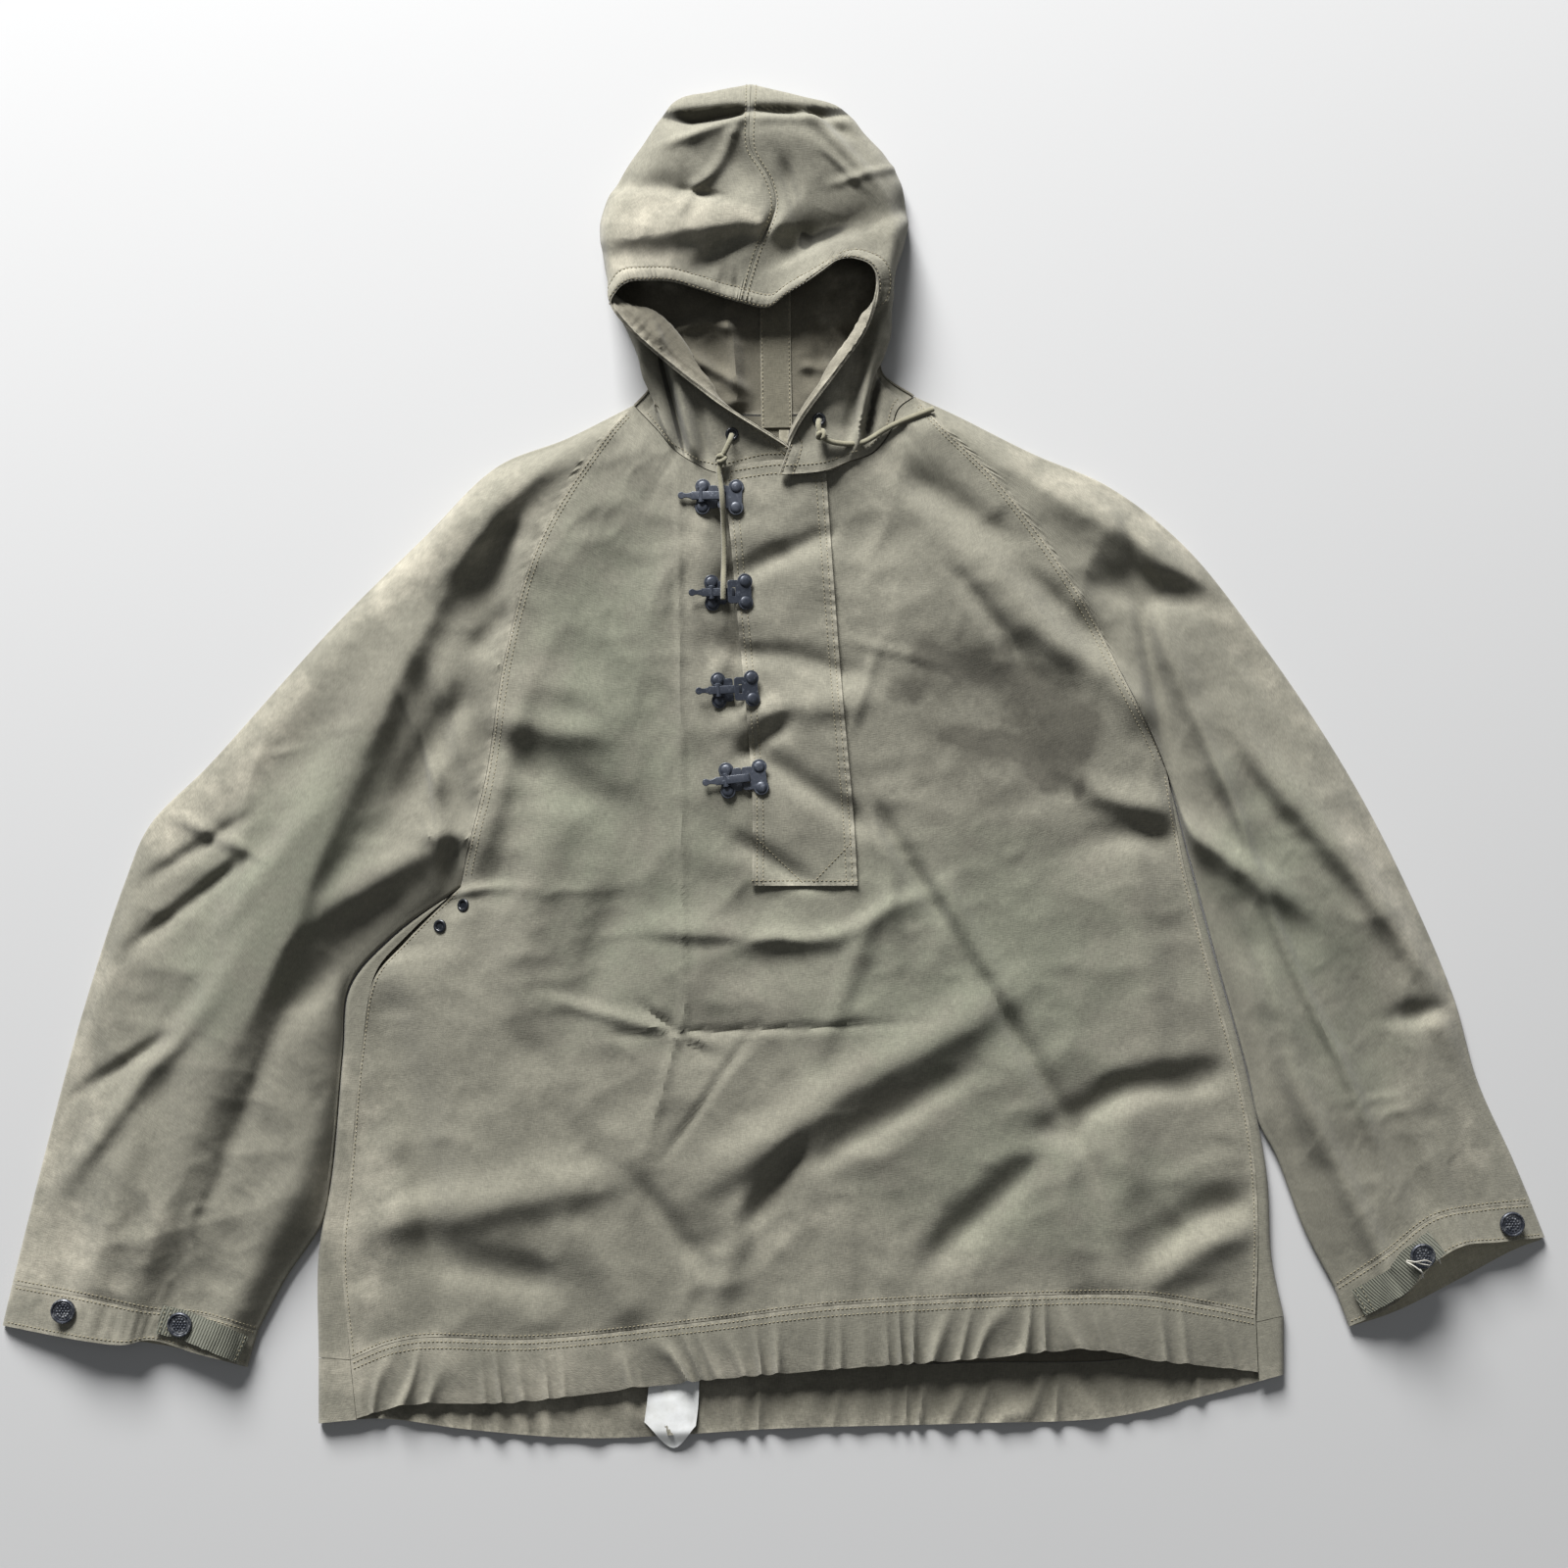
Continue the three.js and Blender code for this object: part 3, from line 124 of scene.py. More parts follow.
def flat(points):
    return points * np.array([1.0, 1.0, 0.0])


def ease(t):
    t = np.clip(t, 0, 1)
    return t * t * (3 - 2 * t)


def mix(a, b, t):
    return a + (b - a) * t


def patch(bottom, top, left, right):  # plan between four edges
    def at(u, v):
        u, v = np.asarray(u, float), np.asarray(v, float)
        low, high = bottom(u), top(u)
        first, last = left(v), right(v)
        u, v = u[..., None], v[..., None]
        sides = low * (1 - v) + high * v + first * (1 - u) + last * u
        lowEnds = bottom(0.0) * (1 - u) * (1 - v) + bottom(1.0) * u * (1 - v)
        highEnds = top(0.0) * (1 - u) * v + top(1.0) * u * v
        return sides - lowEnds - highEnds

    return at


lattice = np.random.default_rng(7).uniform(-1, 1, (64, 64))


def lumps(x, y, size, turn=0.0):  # uneven smooth field between -1 and 1
    a = (x * cos(turn) + y * sin(turn)) / size
    b = (y * cos(turn) - x * sin(turn)) / size
    i, j = np.floor(a).astype(int), np.floor(b).astype(int)
    f, g = ease(a - i), ease(b - j)
    corner = lambda di, dj: lattice[(i + di) % 64, (j + dj) % 64]
    return mix(mix(corner(0, 0), corner(1, 0), f), mix(corner(0, 1), corner(1, 1), f), g)


def creased(x, y, size, turn):  # rounded lumps that meet in soft creases
    bent = size * 0.45 * lumps(x + 31, y - 17, size * 1.7)
    return 1 - 2.2 * np.abs(lumps(x + bent, y - bent, size, turn))


crumpleOf = table("size turn height", [(78, 0.5, 2.4), (43, 1.3, 1.2), (22, 0.2, 0.55), (11, 0.9, 0.19)])


def crumple(x, y):
    return sum(c["height"] * creased(x, y, c["size"], c["turn"]) for c in crumpleOf)


cloth = {
    "canvas": 1.5, "hem": 2.4, "flap": 2.2, "seamGap": 0.3, "sleeveFold": 3.4, "hemFold": 4.5,
    "resting": 14.0, "lowest": 8.0, "lowSoftness": 3, "highest": 35.0, "highSoftness": 4,
    "edgeReach": 55.0, "settleReach": 50.0, "armpitAt": 11 / 19, "neckHeight": 18.0,
}
swells = table("x y sizeX sizeY height", [
    (-20, -60, 260, 330, 6), (150, -300, 170, 150, 5), (-190, -330, 130, 140, 4), (-150, 170, 90, 110, 4),
    (150, 150, 110, 120, 5), (-430, -180, 90, 200, 8), (440, -160, 90, 190, 8),
])
folds = table("fromX fromY toX toY bend left right height", [
    (-26, 176, 17, 195, 2, 8, 8, -7), (-26, 30, -7, 45, 0, 7, 7, -8), (-7, 14, 48, -22, 0, 9, 11, -8),
    (-22, -56, 7, -73, 0, 8, 8, -6), (-24, 106, 38, 94, 3, 10, 9, -6), (-20, 56, 40, 64, 2, 11, 13, 6),
    (-190, 270, -260, 192, 0, 24, 12, 9), (-258, 195, -330, 62, 0, 34, 13, 10),
    (-320, 84, -395, -83, 5, 36, 15, 10), (-390, -68, -437, -176, 0, 26, 12, 10),
    (-434, -166, -518, -379, 0, 32, 20, 10), (-306, -62, -400, -116, 0, 18, 13, 8),
    (-276, 52, -302, 4, 0, 13, 13, -11), (-472, -182, -558, -287, -3, 10, 10, 8),
    (-462, -78, -508, -114, 0, 6, 7, -7), (-518, -216, -584, -257, 0, 6, 7, -6),
    (-400, -44, -443, -98, 0, 11, 10, 7), (-490, -30, -448, -50, 0, 5, 6, 4),
    (-502, -67, -459, -40, 0, 6, 6, -5), (-376, -304, -438, -424, 0, 22, 18, 12),
    (-227, 202, -240, 166, 0, 11, 11, -11), (-236, 131, -246, 116, 0, 10, 10, -7),
    (-276, 70, -254, 11, 0, 10, 10, 7), (-332, -112, -386, -163, 0, 16, 16, -10),
    (-544, -128, -570, -192, 0, 8, 10, 5), (-536, -304, -563, -400, 0, 18, 16, 7),
    (-288, 160, -376, 46, 8, 21, 21, -5), (-419, -208, -459, -312, 0, 8, 10, -4),
    (286, 160, 349, 150, 0, 12, 14, -12), (290, 154, 313, 22, 0, 7, 10, -12),
    (245, 227, 323, 178, 0, 19, 18, 11), (312, 110, 362, 2, 0, 11, 14, 9),
    (322, -34, 390, -80, 0, 10, 11, 13), (374, -34, 453, -222, -6, 6, 5, 7),
    (435, -278, 486, -381, 0, 10, 8, 9), (416, -16, 536, -168, 5, 11, 14, 14),
    (517, -187, 547, -181, 0, 9, 9, -10), (538, -198, 570, -243, 0, 10, 10, 9),
    (339, -84, 370, -128, 0, 14, 14, -8), (338, -32, 406, -264, 0, 10, 13, -5),
    (470, -184, 512, -304, 0, 18, 18, -7), (400, -168, 424, -264, 0, 13, 13, 5),
    (512, -280, 544, -352, 0, 14, 11, 6), (352, 128, 424, 32, 6, 13, 13, -4),
    (-240, -34, -218, 50, 0, 11, 12, 6), (-218, 50, -166, 42, -3, 12, 13, 6),
    (-208, 19, -150, -13, 0, 18, 20, -7), (-323, -206, -293, -342, 5, 13, 18, -12),
    (-298, -352, -187, -333, -3, 16, 20, 10), (-264, -390, -208, -402, 0, 16, 16, -9),
    (-163, -376, -128, -424, 0, 16, 16, 6), (-160, -184, -88, -204, 0, 6, 5, 4),
    (-88, -203, 40, -198, 0, 3, 3, -2.5), (-104, -190, -78, -210, 0, 3, 3, -4),
    (-44, -228, -80, -280, 0, 3, 3, -3), (-88, -208, -104, -267, 0, 3, 3, 3),
    (-80, -122, -8, -126, 0, 6, 13, 5), (76, -46, 86, -100, 5, 6, 7, 5), (86, -100, -6, -126, 11, 7, 9, 5),
    (-86, 160, -83, -118, 0, 2, 3, 2), (139, -102, 181, -174, 0, 8, 10, 8),
    (182, -190, 230, -277, 0, 7, 10, -9), (133, -206, -8, -294, -5, 19, 14, 10.5),
    (120, -250, 50, -291, 0, 12, 12, -8), (5, -307, -18, -341, 0, 9, 9, -11),
    (237, -274, 326, -243, 10, 13, 13, -13), (280, -294, 274, -400, 0, 19, 19, 7),
    (138, -371, 194, -318, 0, 13, 13, -9), (326, -363, 371, -331, 0, 15, 15, -7),
    (320, -394, 379, -358, 0, 14, 16, 9), (-109, -339, -83, -374, 0, 9, 9, -8),
    (84, -36, 117, -91, 0, 6, 8, -7), (160, 80, 229, -10, 0, 21, 21, -6),
    (120, 240, 168, 208, 0, 13, 13, -8), (208, -304, 248, -400, 0, 16, 19, 7),
    (-128, -64, -160, -168, 0, 19, 19, -6), (-192, -48, -216, -144, 0, 18, 18, 6),
    (-32, -352, -56, -424, 0, 13, 13, 6), (40, -352, 64, -424, 0, 11, 11, 5),
    (288, -80, 304, -208, 0, 14, 14, 5), (-144, 192, -112, 96, 0, 19, 19, -4),
    (-24, -128, 0, -192, 0, 8, 10, -4), (64, -128, 40, -192, 0, 8, 10, 4),
    (-204, -224, -160, -304, 0, 18, 18, -6), (180, 160, 222, 116, 0, 16, 12, 7),
    (222, 116, 282, 72, 3, 15, 11, 7), (214, 157, 250, 124, 0, 9, 9, -6), (150, 160, 186, 113, 0, 8, 8, -5),
    (72, 112, 106, 104, 0, 3, 4, 2), (70, 92, 60, 60, 0, 5, 5, 3), (-286, -42, -262, -46, 0, 6, 6, 3),
    (-272, -58, -272, -80, 0, 9, 9, -11), (-288, -46, -280, -80, 0, 5, 5, 3),
    (-289, 14, -282, -40, 0, 3, 9, 5), (-306, 62, -289, 14, 0, 4, 8, 5), (252, -2, 300, -30, 0, 8, 9, 4),
])


def foldHeight(rows, x, y):  # left and right are the widths on either side of one walking down the fold
    height = np.zeros(np.broadcast(x, y).shape)
    for f in rows:
        length = np.hypot(f["toX"] - f["fromX"], f["toY"] - f["fromY"])
        runX, runY = (f["toX"] - f["fromX"]) / length, (f["toY"] - f["fromY"]) / length
        part = ((x - f["fromX"]) * runX + (y - f["fromY"]) * runY) / length
        inside = np.clip(part, 0, 1)
        off = (y - f["fromY"]) * runX - (x - f["fromX"]) * runY - f["bend"] * 4 * inside * (1 - inside)
        width = mix(f["left"], f["right"], ease(off / 4 + 0.5))
        past = (part - inside) * length / (0.35 * length + 8)
        height += f["height"] * np.exp(-((off / width) ** 2) - past**2)
    return height


def clothHeight(x, y):
    height = cloth["resting"] + foldHeight(folds, x, y) + crumple(x, y)
    for s in swells:
        a, b = (x - s["x"]) / s["sizeX"], (y - s["y"]) / s["sizeY"]
        height += s["height"] * np.exp(-(a**2 + b**2))
    low, high = cloth["lowSoftness"], cloth["highSoftness"]  # how gently the cloth meets its limits
    height = cloth["lowest"] + low * np.logaddexp(0, (height - cloth["lowest"]) / low)
    return cloth["highest"] - high * np.logaddexp(0, (cloth["highest"] - height) / high)


def roundUp(distance):
    return 1 - (1 - np.clip(distance / cloth["edgeReach"], 0, 1)) ** 2.4


raglan = {
    "right": curve([(-264, -84), (-258, -54), (-243, 7), (-227, 108), (-199, 200), (-147, 282), (-123, 309)]),
    "left": curve([(312, 13), (307, 28), (277, 87), (238, 161), (174, 248), (129, 292), (107, 316)]),
}
frontNeck = curve([
    (-123, 309, 9), (-103, 288, 14), (-89, 272, 16), (-72, 261, 17), (-56, 254, 17.5), (0, 252, 18),
    (34, 255, 18), (52, 262, 18), (73, 270, 17), (87, 287, 16), (94, 306, 14), (107, 316, 9),
])
backNeck = curve([(-123, 309), (-60, 302), (-8, 300), (50, 303), (107, 316)])
side = {
    "rightEdge": curve([
        (-380, -468), (-380, -384), (-369, -320), (-360, -220), (-354, -166), (-320, -126), (-264, -84),
    ]),
    "rightSeam": curve([
        (-354, -470), (-361, -384), (-355, -320), (-346, -220), (-335, -160), (-310, -130), (-264, -84),
    ]),
    "leftEdge": curve([
        (408, -434), (398, -386), (394, -317), (378, -237), (353, -147), (330, -60), (312, 13),
    ]),
    "leftSeam": curve([
        (385, -433), (387, -363), (383, -300), (371, -237), (347, -147), (325, -60), (312, 13),
    ]),
}
hemLine = {
    "front": curve([
        (-354, -470, 9), (-326, -458, 12), (-298, -452, 13), (-206, -453, 13), (-69, -439, 17),
        (34, -426, 20), (186, -418, 21), (292, -417, 19), (345, -425, 15), (385, -433, 9),
    ]),
    "frontEdge": curve([
        (-349, -518, 9), (-323, -510, 11), (-298, -506, 12), (-222, -505, 12), (-106, -491, 14),
        (0, -481, 17), (149, -470, 19), (252, -462, 19), (305, -471, 17), (345, -475, 13), (387, -480, 9),
    ]),
    "back": curve([
        (-380, -468), (-298, -474), (-158, -482), (0, -477), (149, -472), (286, -468), (345, -449),
        (408, -434),
    ]),
    "backEdge": curve([
        (-380, -522), (-329, -518), (-257, -527), (-158, -534), (0, -526), (149, -522), (266, -517),
        (345, -499), (408, -482),
    ]),
}
arm = {
    "right": {
        "outer": curve([
            (-123, 309), (-177, 282), (-234, 259), (-293, 202), (-368, 128), (-469, 16), (-518, -34),
            (-538, -80), (-573, -188), (-604, -304), (-630, -408),
        ]),
        "inner": curve([
            (-264.6, -84.6), (-321, -125), (-355, -165), (-360.5, -220), (-369.5, -320), (-377, -358),
            (-406, -403), (-429, -446),
        ]),
        "seam": curve([(-630, -408), (-570, -419), (-516, -430), (-476, -433), (-429, -446)]),
        "frontMouth": curve([
            (-638, -442), (-570, -455), (-539, -458), (-518, -454), (-480, -465), (-438, -476),
        ]),
        "backMouth": curve([(-638, -442), (-570, -453), (-518, -456), (-480, -464), (-438, -476)]),
        "mouthRise": 1.0,
    },
    "left": {
        "outer": curve([
            (107, 316), (138, 302), (202, 270), (266, 242), (328, 193), (392, 112), (454, 19), (499, -64),
            (546, -172), (566, -242), (594, -304), (610, -342),
        ]),
        "inner": curve([
            (312.6, 12.6), (331, -60), (354, -147), (378.8, -237), (387.6, -277), (401.5, -304),
            (425, -365), (449, -411),
        ]),
        "seam": curve([(610, -342), (568, -346), (530, -354), (490, -384), (449, -411)]),
        "frontMouth": curve([
            (621, -370), (584, -374), (555, -377), (530, -392), (513, -412), (490, -430), (461, -443),
        ]),
        "backMouth": curve([(621, -371), (598, -379), (553, -403), (498, -431), (461, -443)]),
        "mouthRise": 4.0,
    },
}
print("outlines ready")


# Turning grids of points into meshes

def placed(points):  # seen millimetres to model metres
    points = np.asarray(points, float)
    drawnIn = points[..., :2] * (1 - points[..., 2:3] / view["eye"]) + np.array(view["centre"])
    return np.concatenate([drawnIn, points[..., 2:3]], -1) / 1000


def newPiece(name, points, faces, material, uv=None, masks=None, sharp=42):
    mesh = bpy.data.meshes.new(name)
    mesh.from_pydata(points.tolist(), [], faces.tolist() if isinstance(faces, np.ndarray) else faces)
    corners = np.empty(len(mesh.loops), int)
    mesh.loops.foreach_get("vertex_index", corners)
    if uv is not None:
        layer = mesh.uv_layers.new(name="cut")
        layer.data.foreach_set("uv", uv[corners].ravel().astype(np.float32))
    for key, values in (masks or {}).items():
        mesh.attributes.new(key, "FLOAT", "POINT").data.foreach_set("value", values.astype(np.float32))
    mesh.shade_smooth()
    mesh.set_sharp_from_angle(angle=radians(sharp))
    mesh.materials.append(material)
    piece = linked(name, mesh)
    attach(piece, "root")
    return piece


def quadsOf(index):  # a face for each cell of a grid of point numbers
    return np.stack([index[:-1, :-1], index[:-1, 1:], index[1:, 1:], index[1:, :-1]], -1).reshape(-1, 4)


def wallFaces(rows, columns, closed):
    index = np.arange(rows * columns).reshape(rows, columns)
    if closed:
        index = np.hstack([index, index[:, :1]])
    back = index + rows * columns
    rim = lambda a, b: np.stack([a[1:], a[:-1], b[:-1], b[1:]], -1)
    faces = [quadsOf(index), quadsOf(back)[:, ::-1]]
    faces += [rim(index[0], back[0]), rim(index[-1, ::-1], back[-1, ::-1])]
    if not closed:
        faces += [rim(index[::-1, 0], back[::-1, 0]), rim(index[:, -1], back[:, -1])]
    return np.vstack(faces)


def weathered(points):  # how faded, dark and green the cloth is at a seen place; on the hood the faded mask also holds painted highlight and the dark mask painted shade
    x, y = points[..., 0], points[..., 1]
    masks = {}
    for key, rows in weather.items():
        total = np.zeros(x.shape)
        for r in rows:
            turn = radians(r["turn"])
            a = ((x - r["x"]) * cos(turn) + (y - r["y"]) * sin(turn)) / r["sizeX"]
            b = ((y - r["y"]) * cos(turn) - (x - r["x"]) * sin(turn)) / r["sizeY"]
            total += r["amount"] * np.exp(-((a * a + b * b) ** 1.6))
        masks[key] = total
    return masks


def clothPiece(name, outer, inner, nodes, closed=False, edge=None, material="canvas", seam=None,
               unseen=1.0):
    rows, columns = outer.shape[:2]
    steps = lambda axis: np.linalg.norm(np.diff(outer, axis=axis), axis=-1)
    across = np.concatenate([np.zeros((rows, 1)), np.cumsum(steps(1), axis=1)], 1)
    down = np.concatenate([[0], np.cumsum(steps(0).mean(axis=1))])
    across = across - across[:, columns // 2][:, None]
    uv = np.stack([across, np.broadcast_to(down[:, None], across.shape)], -1).reshape(-1, 2) / 1000
    area = (steps(1)[:-1] * steps(0)[:, :-1]).sum() / 1e6
    points = np.vstack([outer.reshape(-1, 3), inner.reshape(-1, 3)])
    faces = wallFaces(rows, columns, closed)
    a, b, c = (placed(points)[faces[:, k]] for k in (0, 1, 2))
    d = placed(points)[faces[:, 3]]
    volume = (a * np.cross(b, c)).sum() + (a * np.cross(c, d)).sum()
    if volume < 0:
        faces = faces[:, ::-1]
    masks = {key: np.concatenate([m.ravel()] * 2) for key, m in weathered(outer).items()}
    rim = np.zeros((rows, columns)) if edge is None else np.broadcast_to(edge, (rows, columns))
    masks["edge"] = np.concatenate([rim.ravel()] * 2)
    masks["inside"] = np.concatenate([np.zeros(rows * columns), np.full(rows * columns, unseen)])
    # The seam mask carries painted shade, which darkens the colour.
    if seam is not None:
        masks["seam"] = np.concatenate([np.broadcast_to(seam, (rows, columns)).ravel()] * 2)
    piece = newPiece(name, placed(points), faces, materials[material],
                     np.vstack([uv, uv]), masks)
    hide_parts(*nodes)
    print(f"{name}: {2 * len(faces)} triangles, {area:.3f} m2 measured")
    return piece


def rimWear(distance, reach):  # 1 on an edge, fading over reach
    return np.exp(-np.maximum(distance, 0) / reach)


# Materials

def addNode(tree, kind, links=None, **settings):
    node = tree.nodes.new(kind)
    for key, value in settings.items():
        setattr(node, key, value)
    for key, value in (links or {}).items():
        if isinstance(value, bpy.types.NodeSocket):
            tree.links.new(value, node.inputs[key])
        else:
            socket = node.inputs[key]
            socket.default_value = value[:3] if socket.type == "VECTOR" else value
    return node


def mathNode(tree, operation, a, b=0.0, clamp=False):
    return addNode(tree, "ShaderNodeMath", {0: a, 1: b}, operation=operation, use_clamp=clamp).outputs[0]


def plus(tree, a, b, clamp=False):
    return mathNode(tree, "ADD", a, b, clamp)


def times(tree, a, b):
    return mathNode(tree, "MULTIPLY", a, b)


def blendNode(tree, share, a, b):
    return addNode(tree, "ShaderNodeMix", {0: share, 6: a, 7: b}, data_type="RGBA").outputs[2]


def scaledNode(tree, colour, shade):
    links = {0: colour, "Scale": shade}
    return addNode(tree, "ShaderNodeVectorMath", links, operation="SCALE").outputs[0]


def noiseNode(tree, where, scale, detail=3.0, rough=0.55, kind="3D"):
    links = {"Vector": where, "Scale": scale, "Detail": detail, "Roughness": rough}
    return addNode(tree, "ShaderNodeTexNoise", links, noise_dimensions=kind).outputs["Fac"]


def rangeNode(tree, value, low, high, outLow=0.0, outHigh=1.0):
    links = {0: value, 1: low, 2: high, 3: outLow, 4: outHigh}
    return addNode(tree, "ShaderNodeMapRange", links).outputs[0]


def stretched(tree, where, x, y):
    return addNode(tree, "ShaderNodeMapping", {"Vector": where, "Scale": (x, y, 1.0)}).outputs[0]


def cutOf(tree):  # the piece's own cloth, unrolled flat
    return addNode(tree, "ShaderNodeUVMap", uv_map="cut").outputs[0]


def placeOf(tree):
    return addNode(tree, "ShaderNodeTexCoord").outputs["Object"]


def newGroup(name, inputs, outputs):
    tree = bpy.data.node_groups.new(name, "ShaderNodeTree")
    for label, kind in outputs:
        tree.interface.new_socket(label, in_out="OUTPUT", socket_type="NodeSocket" + kind)
    for label, kind in inputs:
        tree.interface.new_socket(label, in_out="INPUT", socket_type="NodeSocket" + kind)
    return tree, tree.nodes.new("NodeGroupInput").outputs, tree.nodes.new("NodeGroupOutput")


def placeGroup(tree, group, links):
    return addNode(tree, "ShaderNodeGroup", links, node_tree=group).outputs


def weaveGroup():  # slubby plain weave: thick and thin yarns both ways
    tree, given, result = newGroup(
        "slubWeave", [("Cut", "Vector"), ("Yarn per metre", "Float")],
        [("Height", "Float"), ("Tone", "Float")],
    )
    yarn = given["Yarn per metre"]
    lines = []
    for x, y in ((1.0, 0.11), (0.11, 1.0)):
        where = stretched(tree, given["Cut"], x, y)
        lines.append(noiseNode(tree, where, yarn, 1.0, 0.5, "2D"))
    crossed = times(tree, plus(tree, *lines), 0.5)
    coarse = noiseNode(tree, given["Cut"], times(tree, yarn, 0.3), 2.0, 0.6, "2D")
    tone = plus(tree, crossed, times(tree, coarse, 0.3))
    tree.links.new(crossed, result.inputs["Height"])
    tree.links.new(rangeNode(tree, tone, 0.45, 0.85), result.inputs["Tone"])
    return tree


def ageGroup():  # sun fading, dirt, rubbed edges, and on the hood painted highlight and painted shade, laid over a cloth colour
    colours = [("Cloth", "Color"), ("Faded", "Color"), ("Dirty", "Color"), ("Mossy", "Color")]
    amounts = [("tan", "Float"), ("dark", "Float"), ("green", "Float"), ("edge", "Float")]
    tree, given, result = newGroup(
        "agedCloth", [("Place", "Vector")] + colours + amounts, [("Color", "Color"), ("Worn", "Float")]
    )
    place = given["Place"]
    broad = noiseNode(tree, place, 7.0, 4.0, 0.6)
    blotch = noiseNode(tree, place, 28.0, 5.0, 0.65)
    speck = noiseNode(tree, place, 190.0, 3.0, 0.7)
    uneven = mathNode(tree, "SUBTRACT", plus(tree, broad, blotch), 1.0)

    def masked(name, spread):
        grown = plus(tree, given[name], times(tree, uneven, spread))
        soft, hard = rangeNode(tree, grown, 0.12, 0.75), rangeNode(tree, given[name], 0.02, 0.2)
        return times(tree, soft, hard)

    sunlit = rangeNode(tree, uneven, 0.1, 0.5, 0.0, 0.18)
    # The fade mask: sun fading, and on the hood painted highlight.
    tan = plus(tree, masked("tan", 1.2), sunlit, clamp=True)
    rubbed = times(tree, given["edge"], rangeNode(tree, speck, 0.35, 0.6, 0.25, 1.0))
    green = times(tree, masked("green", 1.0), 0.8)
    colour = blendNode(tree, green, given["Cloth"], given["Mossy"])
    colour = blendNode(tree, tan, colour, given["Faded"])
    # The dark mask: the chest stain, and on the hood painted shade.
    colour = blendNode(tree, masked("dark", 1.5), colour, given["Dirty"])
    colour = blendNode(tree, times(tree, rubbed, 0.7), colour, given["Faded"])
    shade = rangeNode(tree, plus(tree, speck, blotch), 0.7, 1.3, 0.86, 1.12)
    tree.links.new(scaledNode(tree, colour, shade), result.inputs["Color"])
    tree.links.new(rubbed, result.inputs["Worn"])
    return tree


def edgeWearGroup():  # paint rubbed off where noise lets the metal through
    tree, given, result = newGroup(
        "rubbedPaint",
        [("Place", "Vector"), ("Paint", "Color"), ("Bare", "Color"), ("Amount", "Float")],
        [("Color", "Color"), ("Height", "Float")],
    )
    pits = noiseNode(tree, given["Place"], 900.0, 4.0, 0.7)
    marks = noiseNode(tree, given["Place"], 260.0, 3.0, 0.6)
    low = mathNode(tree, "SUBTRACT", 0.8, times(tree, given["Amount"], 0.3))
    bare = rangeNode(tree, times(tree, plus(tree, pits, marks), 0.62), low, 0.86)
    tree.links.new(blendNode(tree, bare, given["Paint"], given["Bare"]), result.inputs["Color"])
    tree.links.new(pits, result.inputs["Height"])
    return tree


weave, aged, rubbedPaint = weaveGroup(), ageGroup(), edgeWearGroup()


def newMaterial(name, roughness, **sockets):
    material = bpy.data.materials.new(name)
    material.use_nodes = True
    tree = material.node_tree
    shader = next(node for node in tree.nodes if node.type == "BSDF_PRINCIPLED")
    shader.inputs["Roughness"].default_value = roughness
    for key, value in sockets.items():
        shader.inputs[key.replace("_", " ")].default_value = value
    return material, tree, shader


def bumped(tree, shader, height, strength, distance):
    links = {"Height": height, "Strength": strength, "Distance": distance}
    tree.links.new(addNode(tree, "ShaderNodeBump", links).outputs[0], shader.inputs["Normal"])


# The last shade value sets how dark the painted shade along the hood's edges and tucks gets.
canvasLook = {
    "cloth": (0.182, 0.174, 0.137, 1), "faded": (0.305, 0.284, 0.226, 1), "dirty": (0.085, 0.08, 0.062, 1),
    "mossy": (0.145, 0.152, 0.112, 1), "inside": (0.115, 0.105, 0.078, 1), "paintedShade": 0.3,
    "yarn": 1500.0, "bump": 0.0003,
}


def canvasMaterial(name, look, contrast=0.15):
    material, tree, shader = newMaterial(name, 0.93, Sheen_Weight=0.12, Sheen_Roughness=0.6)
    shader.inputs["Specular IOR Level"].default_value = 0.2
    cut = cutOf(tree)
    place = placeOf(tree)
    mask = lambda key: addNode(tree, "ShaderNodeAttribute", attribute_name=key).outputs["Fac"]
    base = blendNode(tree, mask("inside"), look["cloth"], look["inside"])
    given = {"Place": place, "Cloth": base}
    given.update({key.title(): look[key] for key in ("faded", "dirty", "mossy")})
    given.update({key: mask(key) for key in ("tan", "dark", "green", "edge")})
    colour, worn = placeGroup(tree, aged, given)
    height, tone = placeGroup(tree, weave, {"Cut": cut, "Yarn per metre": look["yarn"]})
    yarnShade = rangeNode(tree, tone, 0.0, 1.0, 1 - contrast, 1 + contrast)
    # Painted shade: where the seam mask is set, which is only on the hood, the colour is darkened.
    paintedShade = rangeNode(tree, mask("seam"), 0.15, 0.8, 1.0, look["paintedShade"])
    yarnShade = times(tree, yarnShade, paintedShade)
    tree.links.new(scaledNode(tree, colour, yarnShade), shader.inputs["Base Color"])
    tree.links.new(rangeNode(tree, worn, 0.0, 1.0, 0.95, 0.82), shader.inputs["Roughness"])
    crinkle = noiseNode(tree, place, 120.0, 3.0, 0.6)
    rough = plus(tree, height, times(tree, crinkle, 0.7))
    bumped(tree, shader, rough, 0.8, look["bump"])
    return material


